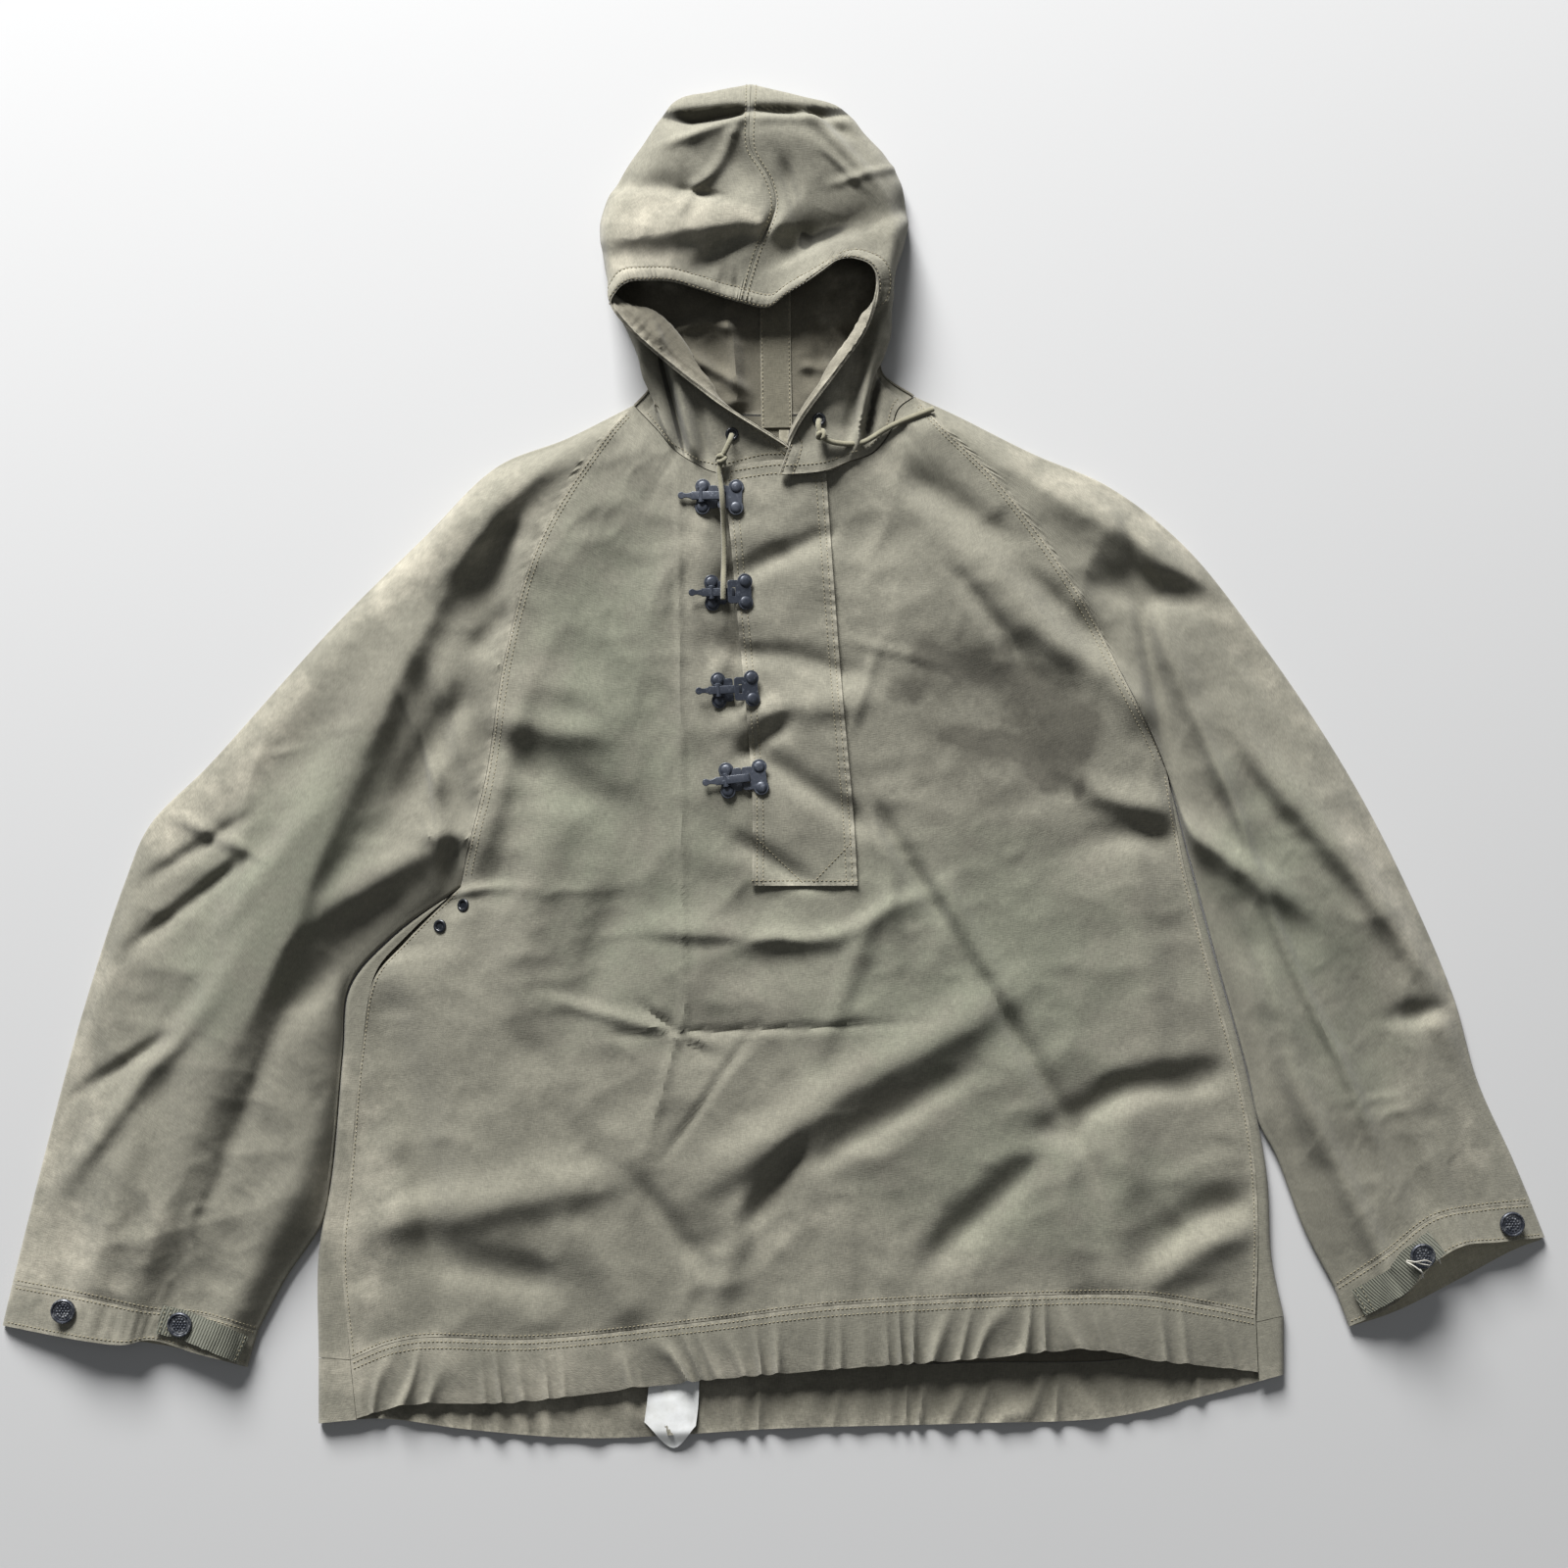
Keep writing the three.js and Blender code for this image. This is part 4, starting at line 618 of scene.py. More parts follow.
def ribbedMaterial(name, colour, ribs):  # ribs run along the strap
    material, tree, shader = newMaterial(name, 0.85, Sheen_Weight=0.2)
    cut = cutOf(tree)
    parts = addNode(tree, "ShaderNodeSeparateXYZ", {0: cut}).outputs
    rib = mathNode(tree, "SINE", times(tree, parts["X"], 2 * pi * ribs))
    pick = mathNode(tree, "SINE", times(tree, parts["Y"], 2 * pi * 900))
    relief = plus(tree, rib, times(tree, pick, 0.3))
    dust = noiseNode(tree, placeOf(tree), 160.0, 4.0, 0.65)
    ribShade = rangeNode(tree, relief, -1.3, 1.3, 0.4, 1.1)
    shade = plus(tree, ribShade, times(tree, dust, 0.5))
    tree.links.new(scaledNode(tree, colour, shade), shader.inputs["Base Color"])
    bumped(tree, shader, relief, 0.7, 0.0004)
    return material


def braidMaterial(name, colour, pale):
    material, tree, shader = newMaterial(name, 0.85, Sheen_Weight=0.25)
    place = placeOf(tree)
    cut = cutOf(tree)
    fibre = noiseNode(tree, stretched(tree, cut, 900.0, 160.0), 4.0, 3.0, 0.7, "2D")
    worn = noiseNode(tree, place, 90.0, 4.0, 0.6)
    share = rangeNode(tree, plus(tree, fibre, worn), 0.7, 1.35)
    tree.links.new(blendNode(tree, share, colour, pale), shader.inputs["Base Color"])
    bumped(tree, shader, fibre, 0.5, 0.0003)
    return material


def paintedMaterial(name, paint, bare, amount, roughness, metallic):
    material, tree, shader = newMaterial(name, roughness, Metallic=metallic, Coat_Weight=0.25)
    shader.inputs["Coat Roughness"].default_value = 0.25
    place = placeOf(tree)
    given = {"Place": place, "Paint": paint, "Bare": bare, "Amount": amount}
    colour, height = placeGroup(tree, rubbedPaint, given)
    tree.links.new(colour, shader.inputs["Base Color"])
    smudge = noiseNode(tree, place, 400.0, 3.0, 0.6)
    smeared = rangeNode(tree, smudge, 0.3, 0.7, roughness - 0.12, roughness + 0.15)
    tree.links.new(smeared, shader.inputs["Roughness"])
    bumped(tree, shader, height, 0.25, 0.0002)
    return material


labelLook = {
    "clean": (0.74, 0.75, 0.745, 1), "soiled": (0.56, 0.56, 0.53, 1), "thick": 0.8, "seat": 7.4, "tip": 2.7,
    "tipFrom": -528.0, "tipRun": 14.0,
}


def labelMaterial():
    material, tree, shader = newMaterial("labelCloth", 0.9, Sheen_Weight=0.1)
    cut = cutOf(tree)
    place = placeOf(tree)
    height, tone = placeGroup(tree, weave, {"Cut": cut, "Yarn per metre": 1500.0})
    soil = rangeNode(tree, noiseNode(tree, place, 60.0, 4.0, 0.6), 0.35, 0.75)
    colour = blendNode(tree, soil, labelLook["clean"], labelLook["soiled"])
    tree.links.new(colour, shader.inputs["Base Color"])
    bumped(tree, shader, height, 0.4, 0.0002)
    return material


paints = {  # name, paint, what shows where it is rubbed, amount rubbed, roughness, metallic
    "clasp": ("claspPaint", (0.03, 0.036, 0.05, 1), (0.14, 0.155, 0.185, 1), 0.42, 0.5, 0.3),
    "button": ("buttonLacquer", (0.03, 0.034, 0.045, 1), (0.3, 0.31, 0.32, 1), 0.62, 0.42, 0.5),
    # The eyelet's dark enamel also covers the disc across each hole: painted shade.
    "eyelet": ("eyeletEnamelHoleShade", (0.01, 0.012, 0.016, 1), (0.2, 0.2, 0.2, 1), 0.2, 0.3, 0.3),
}
materials = {
    "canvas": canvasMaterial("wornCanvas", canvasLook),
    # A darker copy of the canvas for the hood tape and the hanger, which lie inside the hood: painted shade.
    "paintedShadeCanvas": canvasMaterial("shadedCanvas", {**canvasLook, "cloth": (0.13, 0.12, 0.088, 1)}),
    # The cuffs' inside colour is far paler than the canvas's: painted light on the inside of the cuff mouths,
    # which lie in shade.
    "cuff": canvasMaterial("cuffCanvasLitInside", {**canvasLook, "inside": (0.42, 0.39, 0.29, 1)}),
    "webbing": ribbedMaterial("ribbedWebbing", (0.14, 0.143, 0.11, 1), 420),
    "cord": braidMaterial("braidedCord", (0.12, 0.112, 0.074, 1), (0.22, 0.205, 0.14, 1)),
    "label": labelMaterial(),
    **{kind: paintedMaterial(*rows) for kind, rows in paints.items()},
    "paleThread": braidMaterial("looseThread", (0.4, 0.38, 0.32, 1), (0.62, 0.6, 0.54, 1)),
    "thread": braidMaterial("sewingThread", (0.19, 0.165, 0.1, 1), (0.33, 0.29, 0.19, 1)),
}
weather = {
    # The rows at (-100, 446) and (-40, 460) are painted highlight on the hood's lit plateau.
    "tan": table("x y sizeX sizeY turn amount", [
        (-200, 230, 60, 24, 40, 0.35), (-300, 190, 90, 30, 45, 0.4), (-450, 30, 120, 34, 48, 0.4),
        (-590, -230, 110, 40, 72, 0.45), (-560, -400, 90, 60, 0, 0.45), (-350, -330, 40, 120, 0, 0.35),
        (-200, -490, 200, 40, 0, 0.4), (250, 240, 90, 24, -32, 0.35), (390, 110, 110, 26, -52, 0.35),
        (510, -110, 120, 30, -65, 0.35), (590, -320, 60, 60, 0, 0.35), (60, 340, 34, 90, 10, 0.4),
        (-40, 120, 60, 200, 4, 0.17), (0, -380, 140, 60, 5, 0.17), (-100, 446, 46, 44, 0, 0.5),
        (-40, 460, 40, 14, 0, 0.4),
    ]),
    # The rows round x 100 to 242 make the stain on the wearer's left chest; the rows at (50, 480) and (-8,
    # 522) are painted shade on the shaded sides of the hood's folds.
    "dark": table("x y sizeX sizeY turn amount", [
        (172, 68, 84, 50, -12, 0.63), (238, 46, 26, 24, 0, 0.5), (196, 30, 56, 11, -3, 0.5),
        (148, 40, 32, 9, -8, 0.5), (100, 76, 15, 13, 0, 0.75), (114, 107, 14, 14, 0, 0.6),
        (160, 96, 44, 14, -12, 0.42), (226, 14, 28, 16, 0, 0.55), (242, -3, 5, 10, -10, 0.5),
        (217, 2, 8, 9, 0, 0.45), (160, 2, 52, 24, 0, 0.3), (181, 113, 6, 9, 20, 0.6),
        (-510, 20, 60, 10, 50, 0.3), (50, 480, 50, 44, -30, 0.5), (-8, 522, 44, 14, 0, 0.42),
        (62, 436, 30, 12, 25, 0.3), (-66, 508, 34, 22, 30, 0.3), (-52, 426, 36, 12, 12, 0.3),
    ]),
    "green": table("x y sizeX sizeY turn amount", [
        (-130, -60, 110, 160, 10, 0.6), (160, -160, 150, 120, 0, 0.6), (-420, -100, 60, 150, -30, 0.6),
        (420, -120, 60, 160, 25, 0.6), (-150, 160, 60, 110, 0, 0.5), (200, -330, 150, 60, 0, 0.4),
    ]),
}
print("materials ready")


# Drawcords: the ends of the hood's cord, each out of its eyelet with one knot, then lying free

cordSize = {"diameter": 4.5, "sides": 20, "step": 0.7, "braid": 0.16, "plaits": 4, "pitch": 9.0}
cordRoutes = {
    "right": [
        (-42.4, 285.6, 23), (-44, 281, 26.5), (-47.5, 273, 27), (-51, 265.6, 25.2), (-53, 256, 25),
        (-52, 247, 26.4), (-50.8, 238, 28.4), (-50.2, 230, 28.3), (-49.6, 220, 25.6), (-49.2, 208, 22.2),
        (-48.8, 194, 21.2), (-49, 180, 22.4), (-49.4, 169, 25.8), (-49.6, 160, 28.8), (-49.6, 150.4, 28.6),
    ],
    "left": [
        (28.8, 297.6, 28.6), (28, 293, 32.8), (29.5, 287, 33.6), (33.5, 281.8, 32), (38, 279.6, 30),
        (45, 278.2, 27.6), (52.8, 277.6, 24.8), (64.8, 279.2, 22), (73, 283.4, 20.8), (80, 288, 20.2),
        (92, 294.4, 19), (105.6, 300, 17.2), (122.4, 306.4, 15),
    ],
}
cordKnots = {"right": (-51, 265.6, 25.2), "left": (30.6, 285.4, 33.2)}


def sweep(points, radius, sides, ripple=None):  # closed tube along points, in millimetres
    run = unit(np.gradient(points, axis=0))
    across = [unit(np.cross(run[0], (0.3, 0.2, 1.0)))]
    for step in run[1:]:
        across.append(unit(across[-1] - step * np.dot(across[-1], step)))
    across = np.array(across)
    over = np.cross(run, across)
    angle = np.linspace(0, 2 * pi, sides, endpoint=False)
    length = np.concatenate([[0], np.cumsum(np.linalg.norm(np.diff(points, axis=0), axis=1))])
    size = np.full((len(points), sides), float(radius))
    if ripple:
        size += ripple(angle[None, :], length[:, None])
    size[[0, -1]] *= 0.72
    ring = across[:, None] * np.cos(angle)[None, :, None] + over[:, None] * np.sin(angle)[None, :, None]
    skin = (points[:, None] + ring * size[..., None]).reshape(-1, 3)
    index = np.arange(len(points) * sides).reshape(len(points), sides)
    index = np.hstack([index, index[:, :1]])
    quads = quadsOf(index)
    ends = [list(range(sides))[::-1], list(range((len(points) - 1) * sides, len(points) * sides))]
    uv = np.stack(np.broadcast_arrays(angle * radius, length[:, None]), -1)
    return skin, quads.tolist() + ends, uv.reshape(-1, 2) / 1000


def braid(angle, length):
    turn = 2 * pi * length / cordSize["pitch"]
    plaits = cordSize["plaits"]
    strands = np.maximum(np.sin(plaits * (angle + turn)), np.sin(plaits * (angle - turn)))
    return cordSize["braid"] * (strands - 0.4)


def overhand(hand, route):  # a knot pulled tight round the cord
    spot = np.array(cordKnots[hand])
    shares = np.linspace(0, 1, 400)
    share = shares[np.argmin(np.linalg.norm(along(route, shares) - spot, axis=1))]
    centre, run = along(route, share), heading(route, share)
    acrossRun = unit(np.cross(run, (0.1, 0.2, 1.0)))
    overRun = np.cross(run, acrossRun)
    t = np.linspace(0, 2 * pi, 120)
    swing = 2.5 + 0.95 * np.cos(3 * t)
    loop = centre + np.outer(swing * np.cos(2 * t), acrossRun) + np.outer(swing * np.sin(2 * t), overRun)
    return loop + np.outer(2.5 * np.sin(3 * t), run)


for hand in ("right", "left"):
    route = curve(cordRoutes[hand])
    line = along(route, np.linspace(0, 1, int(route["length"] / cordSize["step"])))
    skin, faces, uv = sweep(line, cordSize["diameter"] / 2, cordSize["sides"], braid)
    piece = newPiece(f"drawcord_{hand}", placed(skin), faces, materials["cord"], uv, sharp=80)
    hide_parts(f"cord_{hand}")
    skin, faces, uv = sweep(overhand(hand, route), cordSize["diameter"] * 0.4, 14, braid)
    tied = newPiece(f"drawcord_knot_{hand}", placed(skin), faces, materials["cord"], uv, sharp=80)
    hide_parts(f"knot_{hand}")
print("drawcords laid")


# Sleeves and cuffs: a flat underside, a fold at each edge and a raised upper layer

surfaces = {}
sleeveLook = {"rows": 270, "length": 850.0, "puckers": 46, "puckerHeight": 1.3, "puckerReach": 16.0}
cuffLook = {"rows": 16, "width": 34.0, "ripples": 19, "rippleHeight": 0.5}


def sleeveHeight(plan, u, v):
    point = plan(u, v)
    low = 2 * cloth["sleeveFold"]
    width = np.linalg.norm(plan(u, np.zeros_like(v)) - plan(u, np.ones_like(v)), axis=-1)
    near = np.maximum(np.minimum(v, 1 - v) * width - cloth["sleeveFold"], 0)
    return low + np.maximum(clothHeight(point[..., 0], point[..., 1]) - low, 1) * roundUp(near)


def ringGrids(upper, under, rows, thick, height, over=84, below=12, turn=6):
    u = np.linspace(0, 1, rows + 1)[:, None]
    start, end = flat(upper(u, np.zeros_like(u))), flat(upper(u, np.ones_like(u)))
    inStart = unit(flat(upper(u, 0 * u + 0.08)) - start)
    inEnd = unit(flat(upper(u, 0 * u + 0.92)) - end)
    radius = cloth["sleeveFold"]
    edge = radius / np.linalg.norm(end - start, axis=-1)

    def inset(v):
        return edge + (1 - 2 * edge) * v[None, :]

    def layer(points, z):
        return np.concatenate([points[..., :2], z[..., None]], -1)

    def fold(corner, inwards, fromTop):
        angle = np.linspace(0, pi, turn + 2)[1:-1]
        lift = np.cos(angle) * (1 if fromTop else -1)
        rings = []
        for r in (radius, radius - thick):
            point = corner + inwards * (radius - r * np.sin(angle))[None, :, None]
            rings.append(layer(point, np.broadcast_to((radius + r * lift)[None], point.shape[:2])))
        return rings

    lowV = inset(np.linspace(1, 0, below + 1))
    highV = inset(np.linspace(0, 1, over + 1))
    uLow, uHigh = np.broadcast_to(u, lowV.shape), np.broadcast_to(u, highV.shape)
    floor, top = under(uLow, lowV), upper(uHigh, highV)
    z = height(uHigh, highV)
    zero = np.zeros(floor.shape[:2])
    first, last = fold(start, inStart, False), fold(end, inEnd, True)
    outer = np.concatenate([layer(floor, zero), first[0], layer(top, z), last[0]], 1)
    inner = np.concatenate([layer(floor, zero + thick), first[1], layer(top, z - thick), last[1]], 1)
    return outer, inner, layer(top, z)


for hand in ("right", "left"):
    edges = arm[hand]
    outwards = cloth["seamGap"] * (1 if hand == "right" else -1)

    def sleevePlan(u, v, edges=edges, hand=hand, outwards=outwards):
        square = patch(
            lambda t: flat(beside(raglan[hand], 1 - np.asarray(t, float), outwards)),
            follow(edges["seam"]),
            follow(edges["outer"]),
            follow(edges["inner"]),
        )
        return square(v, u)

    arm[hand]["plan"] = sleevePlan

    def seamPucker(u, v, plan=sleevePlan):
        point = plan(u, v)
        away = u * sleeveLook["length"]
        wave = np.sin(2 * pi * (sleeveLook["puckers"] * v + 0.8 * np.sin(9 * v) + 0.4 * np.sin(23 * v + 1)))
        uneven = 0.6 + 0.4 * lumps(point[..., 0], point[..., 1], 26)
        fading = np.exp(-away / sleeveLook["puckerReach"]) * ease(away / 4)
        return sleeveLook["puckerHeight"] * wave * uneven * fading

    def height(u, v, plan=sleevePlan):
        return sleeveHeight(plan, u, v) + seamPucker(u, v) * ease(np.minimum(v, 1 - v) / 0.08)

    outer, inner, top = ringGrids(sleevePlan, sleevePlan, sleeveLook["rows"], cloth["canvas"], height)
    down = np.linspace(0, 1, sleeveLook["rows"] + 1)[:, None] * sleeveLook["length"]
    wear = np.maximum(rimWear(down, 5), rimWear(sleeveLook["length"] - down, 5))
    clothPiece(f"sleeve_{hand}_cloth", outer, inner, [f"sleeve_{hand}"], True, wear)
    surfaces[f"sleeve_{hand}"] = top

    def cuffPlan(mouth, edges=edges, outwards=outwards):
        seam = lambda t: beside(edges["seam"], t, -outwards)
        square = patch(
            seam, follow(mouth),
            lambda t: mix(seam(0.0), along(mouth, 0.0), np.asarray(t, float)[..., None]),
            lambda t: mix(seam(1.0), along(mouth, 1.0), np.asarray(t, float)[..., None]),
        )
        return lambda u, v: square(v, u)

    def cuffHeight(u, v, plan=sleevePlan, rise=edges["mouthRise"]):
        ripple = np.sin(2 * pi * (cuffLook["ripples"] * v + 0.6 * np.sin(11 * v)))
        stitched = cuffLook["rippleHeight"] * ripple * np.sin(pi * np.clip(u, 0, 1))
        return sleeveHeight(plan, np.ones_like(u), v) + (u * rise + stitched) * np.sin(pi * v)

    upper, under = cuffPlan(edges["frontMouth"]), cuffPlan(edges["backMouth"])
    cuff = ringGrids(upper, under, cuffLook["rows"], cloth["hem"], cuffHeight)
    down = np.linspace(0, 1, cuffLook["rows"] + 1)[:, None] * cuffLook["width"]
    wear = np.maximum(rimWear(down, 3), rimWear(cuffLook["width"] - down, 5))
    # The cuff material's pale inside is painted light.
    clothPiece(f"cuff_{hand}_cloth", cuff[0], cuff[1], [f"cuff_{hand}"], True, wear, "cuff")
    surfaces[f"cuff_{hand}"] = cuff[2]
print("sleeves laid")


# Body: the front and the back share their rows at the side seams and the raglan seams

bodyGrid = {"rows": 190, "columns": 180, "backRows": 114, "backColumns": 44, "wrap": 16}
bodySize = {"width": 700.0, "length": 720.0, "chest": 520.0}
gathers = {"front": 35, "back": 30, "frontDepth": 5.0, "backDepth": 3.2, "backLift": 0.8, "runUp": 18.0}
hemLook = {"rows": 18, "columns": 560, "width": 48.0, "backRows": 14, "backColumns": 360, "backWidth": 50.0}


def upBody(low, high):
    at = cloth["armpitAt"]

    def edge(v):
        v = np.asarray(v, float)
        below = along(low, v / at)
        above = along(high, (v - at) / (1 - at))
        return flat(np.where((v <= at)[..., None], below, above))

    return edge


def sideRadius(v):
    return mix(cloth["hemFold"], cloth["sleeveFold"], np.minimum(v / cloth["armpitAt"], 1))


frontPlan = patch(
    lambda u: flat(along(hemLine["front"], u)),
    lambda u: flat(along(frontNeck, u)),
    upBody(side["rightSeam"], raglan["right"]),
    upBody(side["leftSeam"], raglan["left"]),
)


def seamHeight(hand, v):
    at = cloth["armpitAt"]
    up = 1 - (v - at) / (1 - at)
    plan = arm[hand]["plan"]
    width = np.linalg.norm(plan(0 * v, 0 * v) - plan(0 * v, 0 * v + 1), axis=-1)
    edge = cloth["sleeveFold"] / width
    onSleeve = sleeveHeight(plan, np.zeros_like(v), np.clip(up, edge, 1 - edge))
    return np.where(v <= at, 2 * sideRadius(v), onSleeve)


def gatherWave(u, count, fromSeam=0.0):  # uneven pleats, leaning more the further they are from the seam
    lean = 0.7 * np.sin(11 * u + 0.7) + 0.5 * np.sin(29 * u)
    step = count * u + 0.6 * np.sin(9.4 * u) + 0.45 * np.sin(31 * u + 1) + 0.25 * np.sin(83 * u)
    depth = 0.75 + 0.25 * np.sin(17 * u + 2) + 0.25 * np.sin(43 * u) + 0.2 * np.sin(71 * u + 1)
    pleat = (np.exp(1.2 * np.sin(2 * pi * (step + lean * fromSeam))) - 1.4) / 2
    return pleat * np.clip(depth, 0.35, 1.3)


def calmEnds(u):
    return ease(np.minimum(u, 1 - u) / 0.05)


flapEdges = {
    "left": curve([(-26, -83), (-26, -9), (-31, 62), (-39, 147), (-46, 219), (-54, 258)]),
    "right": curve([(60, -83), (57, -30), (47, 81), (39, 187), (34, 260)]),
    "top": curve([(-54, 258), (-1, 265), (34, 260)]),
    "bottom": curve([(-26, -83), (60, -84)]),
}
placket = {"gap": 7.5, "wide": 12.0, "low": 40.0, "high": 236.0, "fade": 40.0}


def placketDip(x, y):  # the opening's lower layer sinks beside the flap's free edge
    line = flapEdges["left"]["points"]
    off = np.interp(y, line[:, 1], line[:, 0]) - x
    over = ease((y - placket["low"]) / placket["fade"]) * ease((placket["high"] - y) / placket["fade"] * 2)
    return placket["gap"] * over * np.exp(-(((off - 3) / np.where(off > 3, placket["wide"], 6)) ** 2))


def frontHeight(u, v):
    def at(a, b):
        point = frontPlan(a, b)
        return clothHeight(point[..., 0], point[..., 1])

    zero, one = np.zeros_like(u), np.ones_like(u)
    width = np.linalg.norm(frontPlan(zero, v) - frontPlan(one, v), axis=-1)
    length = np.linalg.norm(frontPlan(u, zero) - frontPlan(u, one), axis=-1)

    def near(part, size):
        return np.exp(-(np.maximum(part * size / cloth["settleReach"], 0) ** 1.5)) * (1 - part)

    leftEdge, rightEdge = seamHeight("right", v[:, :1]), seamHeight("left", v[:, :1])

    def sideways(b, left, right):
        return at(u, b) + (left - at(zero, b)) * near(u, width) + (right - at(one, b)) * near(1 - u, width)

    middle = sideways(v, leftEdge, rightEdge)
    bottom = sideways(zero, leftEdge[:1], rightEdge[:1])
    top = sideways(one, leftEdge[-1:], rightEdge[-1:])
    hemZ = along(hemLine["front"], u)[..., 2]
    neckZ = along(frontNeck, u)[..., 2]
    height = middle + (hemZ - bottom) * near(v, length) + (neckZ - top) * near(1 - v, length)
    runUp = np.exp(-v * length / gathers["runUp"])
    point = frontPlan(u, v)
    height = height - placketDip(point[..., 0], point[..., 1])
    return height + 0.08 * gatherWave(u, gathers["front"]) * gathers["frontDepth"] * runUp * calmEnds(u)


def spread(rows, columns):
    v, u = np.meshgrid(np.linspace(0, 1, rows + 1), np.linspace(0, 1, columns + 1), indexing="ij")
    return u, v


def raised(points, z):
    return np.concatenate([points[..., :2], z[..., None]], -1)


def lowered(points, depth):
    return points - np.array([0, 0, depth])


u, v = spread(bodyGrid["rows"], bodyGrid["columns"])
front = raised(frontPlan(u, v), frontHeight(u, v))
surfaces["front"] = front
fromSides = np.minimum(u, 1 - u) * bodySize["width"]
frontWear = np.maximum(rimWear(fromSides, 4), rimWear(v * bodySize["length"], 4))
clothPiece("front_cloth", front, lowered(front, cloth["canvas"]), ["front_body"], edge=frontWear)


def treeOf(grid):  # for finding the cloth's height under a point
    rows, columns = grid.shape[:2]
    index = np.arange(rows * columns).reshape(rows, columns)
    return BVHTree.FromPolygons(grid.reshape(-1, 3).tolist(), quadsOf(index).tolist())


def heightOn(tree, x, y, missing):
    hit = tree.ray_cast(Vector((x, y, 200)), Vector((0, 0, -1)))[0]
    return hit.z if hit else missing


frontTree = treeOf(front)


def onFront(x, y):
    find = lambda a, b: heightOn(frontTree, a, b, cloth["neckHeight"])
    return np.vectorize(find, otypes=[float])(x, y)


backEdges = {
    "left": upBody(side["rightEdge"], raglan["right"]), "right": upBody(side["leftEdge"], raglan["left"]),
}
backPlan = patch(
    follow(hemLine["back"]), follow(backNeck), backEdges["left"], backEdges["right"]
)


def wrapRows(edge, seam, inwards, radius, wrapped, thick, count):
    # the cloth from its seam on the upper side, round the fold, to the floor
    distance = np.linalg.norm(seam - edge, axis=-1, keepdims=True) - cloth["seamGap"]
    strip = np.maximum(distance - radius, 0)
    first = np.arcsin(np.clip(1 - np.maximum(distance, 0) / radius, 0, 1))
    total = strip + radius * (pi - first)
    reach = np.linspace(0, 1, count)[None, :] * total
    angle = first + np.maximum(reach - strip, 0) / radius
    grids = []
    for r in (radius, radius - thick):
        onStrip = reach < strip
        inward = np.where(onStrip, distance - reach, radius - r * np.sin(angle))
        z = np.where(onStrip, radius + r, radius + r * np.cos(angle))
        flatIn = np.linspace(0, 1, count)[None, :] * 12
        inward = mix(flatIn, inward, wrapped)
        z = mix(0 if r is radius else thick, z, wrapped)
        point = edge[:, None] + inwards[:, None] * inward[..., None]
        grids.append(raised(point, z))
    return grids


def backGrids(plan, rows, columns, thick, edges, seams, radius, wrapped, lift):
    v = np.linspace(0, 1, rows + 1)
    start, end = flat(edges["left"](v)), flat(edges["right"](v))
    inStart = unit(flat(plan(0 * v + 0.05, v)) - start)
    inEnd = unit(flat(plan(0 * v + 0.95, v)) - end)
    r, hold = radius(v)[:, None], wrapped(v)[:, None]
    left = wrapRows(start, flat(seams["left"](v)), inStart, r, hold, thick, bodyGrid["wrap"])
    right = wrapRows(end, flat(seams["right"](v)), inEnd, r, hold, thick, bodyGrid["wrap"])
    uu, vv = np.meshgrid(np.linspace(0.03, 0.97, columns), v)
    middle = plan(uu, vv)
    z = lift(uu, vv)
    outer = np.concatenate([left[0], raised(middle, z), right[0][:, ::-1]], 1)
    inner = np.concatenate([left[1], raised(middle, z + thick), right[1][:, ::-1]], 1)
    return outer, inner


frontSeams = {
    "left": upBody(side["rightSeam"], raglan["right"]), "right": upBody(side["leftSeam"], raglan["left"]),
}
back = backGrids(
    backPlan, bodyGrid["backRows"], bodyGrid["backColumns"], cloth["canvas"], backEdges, frontSeams,
    sideRadius, lambda v: ease((cloth["armpitAt"] - v) / 0.03), lambda u, v: np.zeros_like(u),
)
clothPiece("back_cloth", *back, ["back_body"])


def belowRow(row):  # the row of points that a hem hangs from
    def at(u):
        u = np.clip(np.asarray(u, float), 0, 1) * (len(row) - 1)
        point = np.stack([np.interp(u, np.arange(len(row)), row[:, k]) for k in range(3)], -1)
        return point - np.array([0, 1.5 * cloth["seamGap"], 0])

    return at


def between(start, end):
    return lambda v: mix(start, end, np.asarray(v, float)[..., None])


hemEdgeLine = follow(hemLine["frontEdge"])
hemTop = belowRow(front[0])
hemPlan = patch(hemEdgeLine, hemTop, *(between(hemEdgeLine(t), hemTop(t)) for t in (0.0, 1.0)))
u, v = spread(hemLook["rows"], hemLook["columns"])
point = hemPlan(u, v)
pull = gatherWave(u, gathers["front"], 1 - v) * (0.08 + 0.92 * (1 - v) ** 1.3) * calmEnds(u)
wave = pull * gathers["frontDepth"]
point = point + np.stack([0 * u, 1.1 * pull, 0 * u], -1)
casing = 1.1 * np.sin(pi * np.clip(v, 0, 1)) ** 0.6
frontHem = raised(point, point[..., 2] + wave + casing * calmEnds(u))
hemWear = np.maximum(rimWear(v * hemLook["width"], 6), rimWear((1 - v) * hemLook["width"], 3))
clothPiece("hem_front_cloth", frontHem, lowered(frontHem, cloth["hem"]), ["hem_front"], edge=hemWear)
surfaces["hem_front"] = frontHem

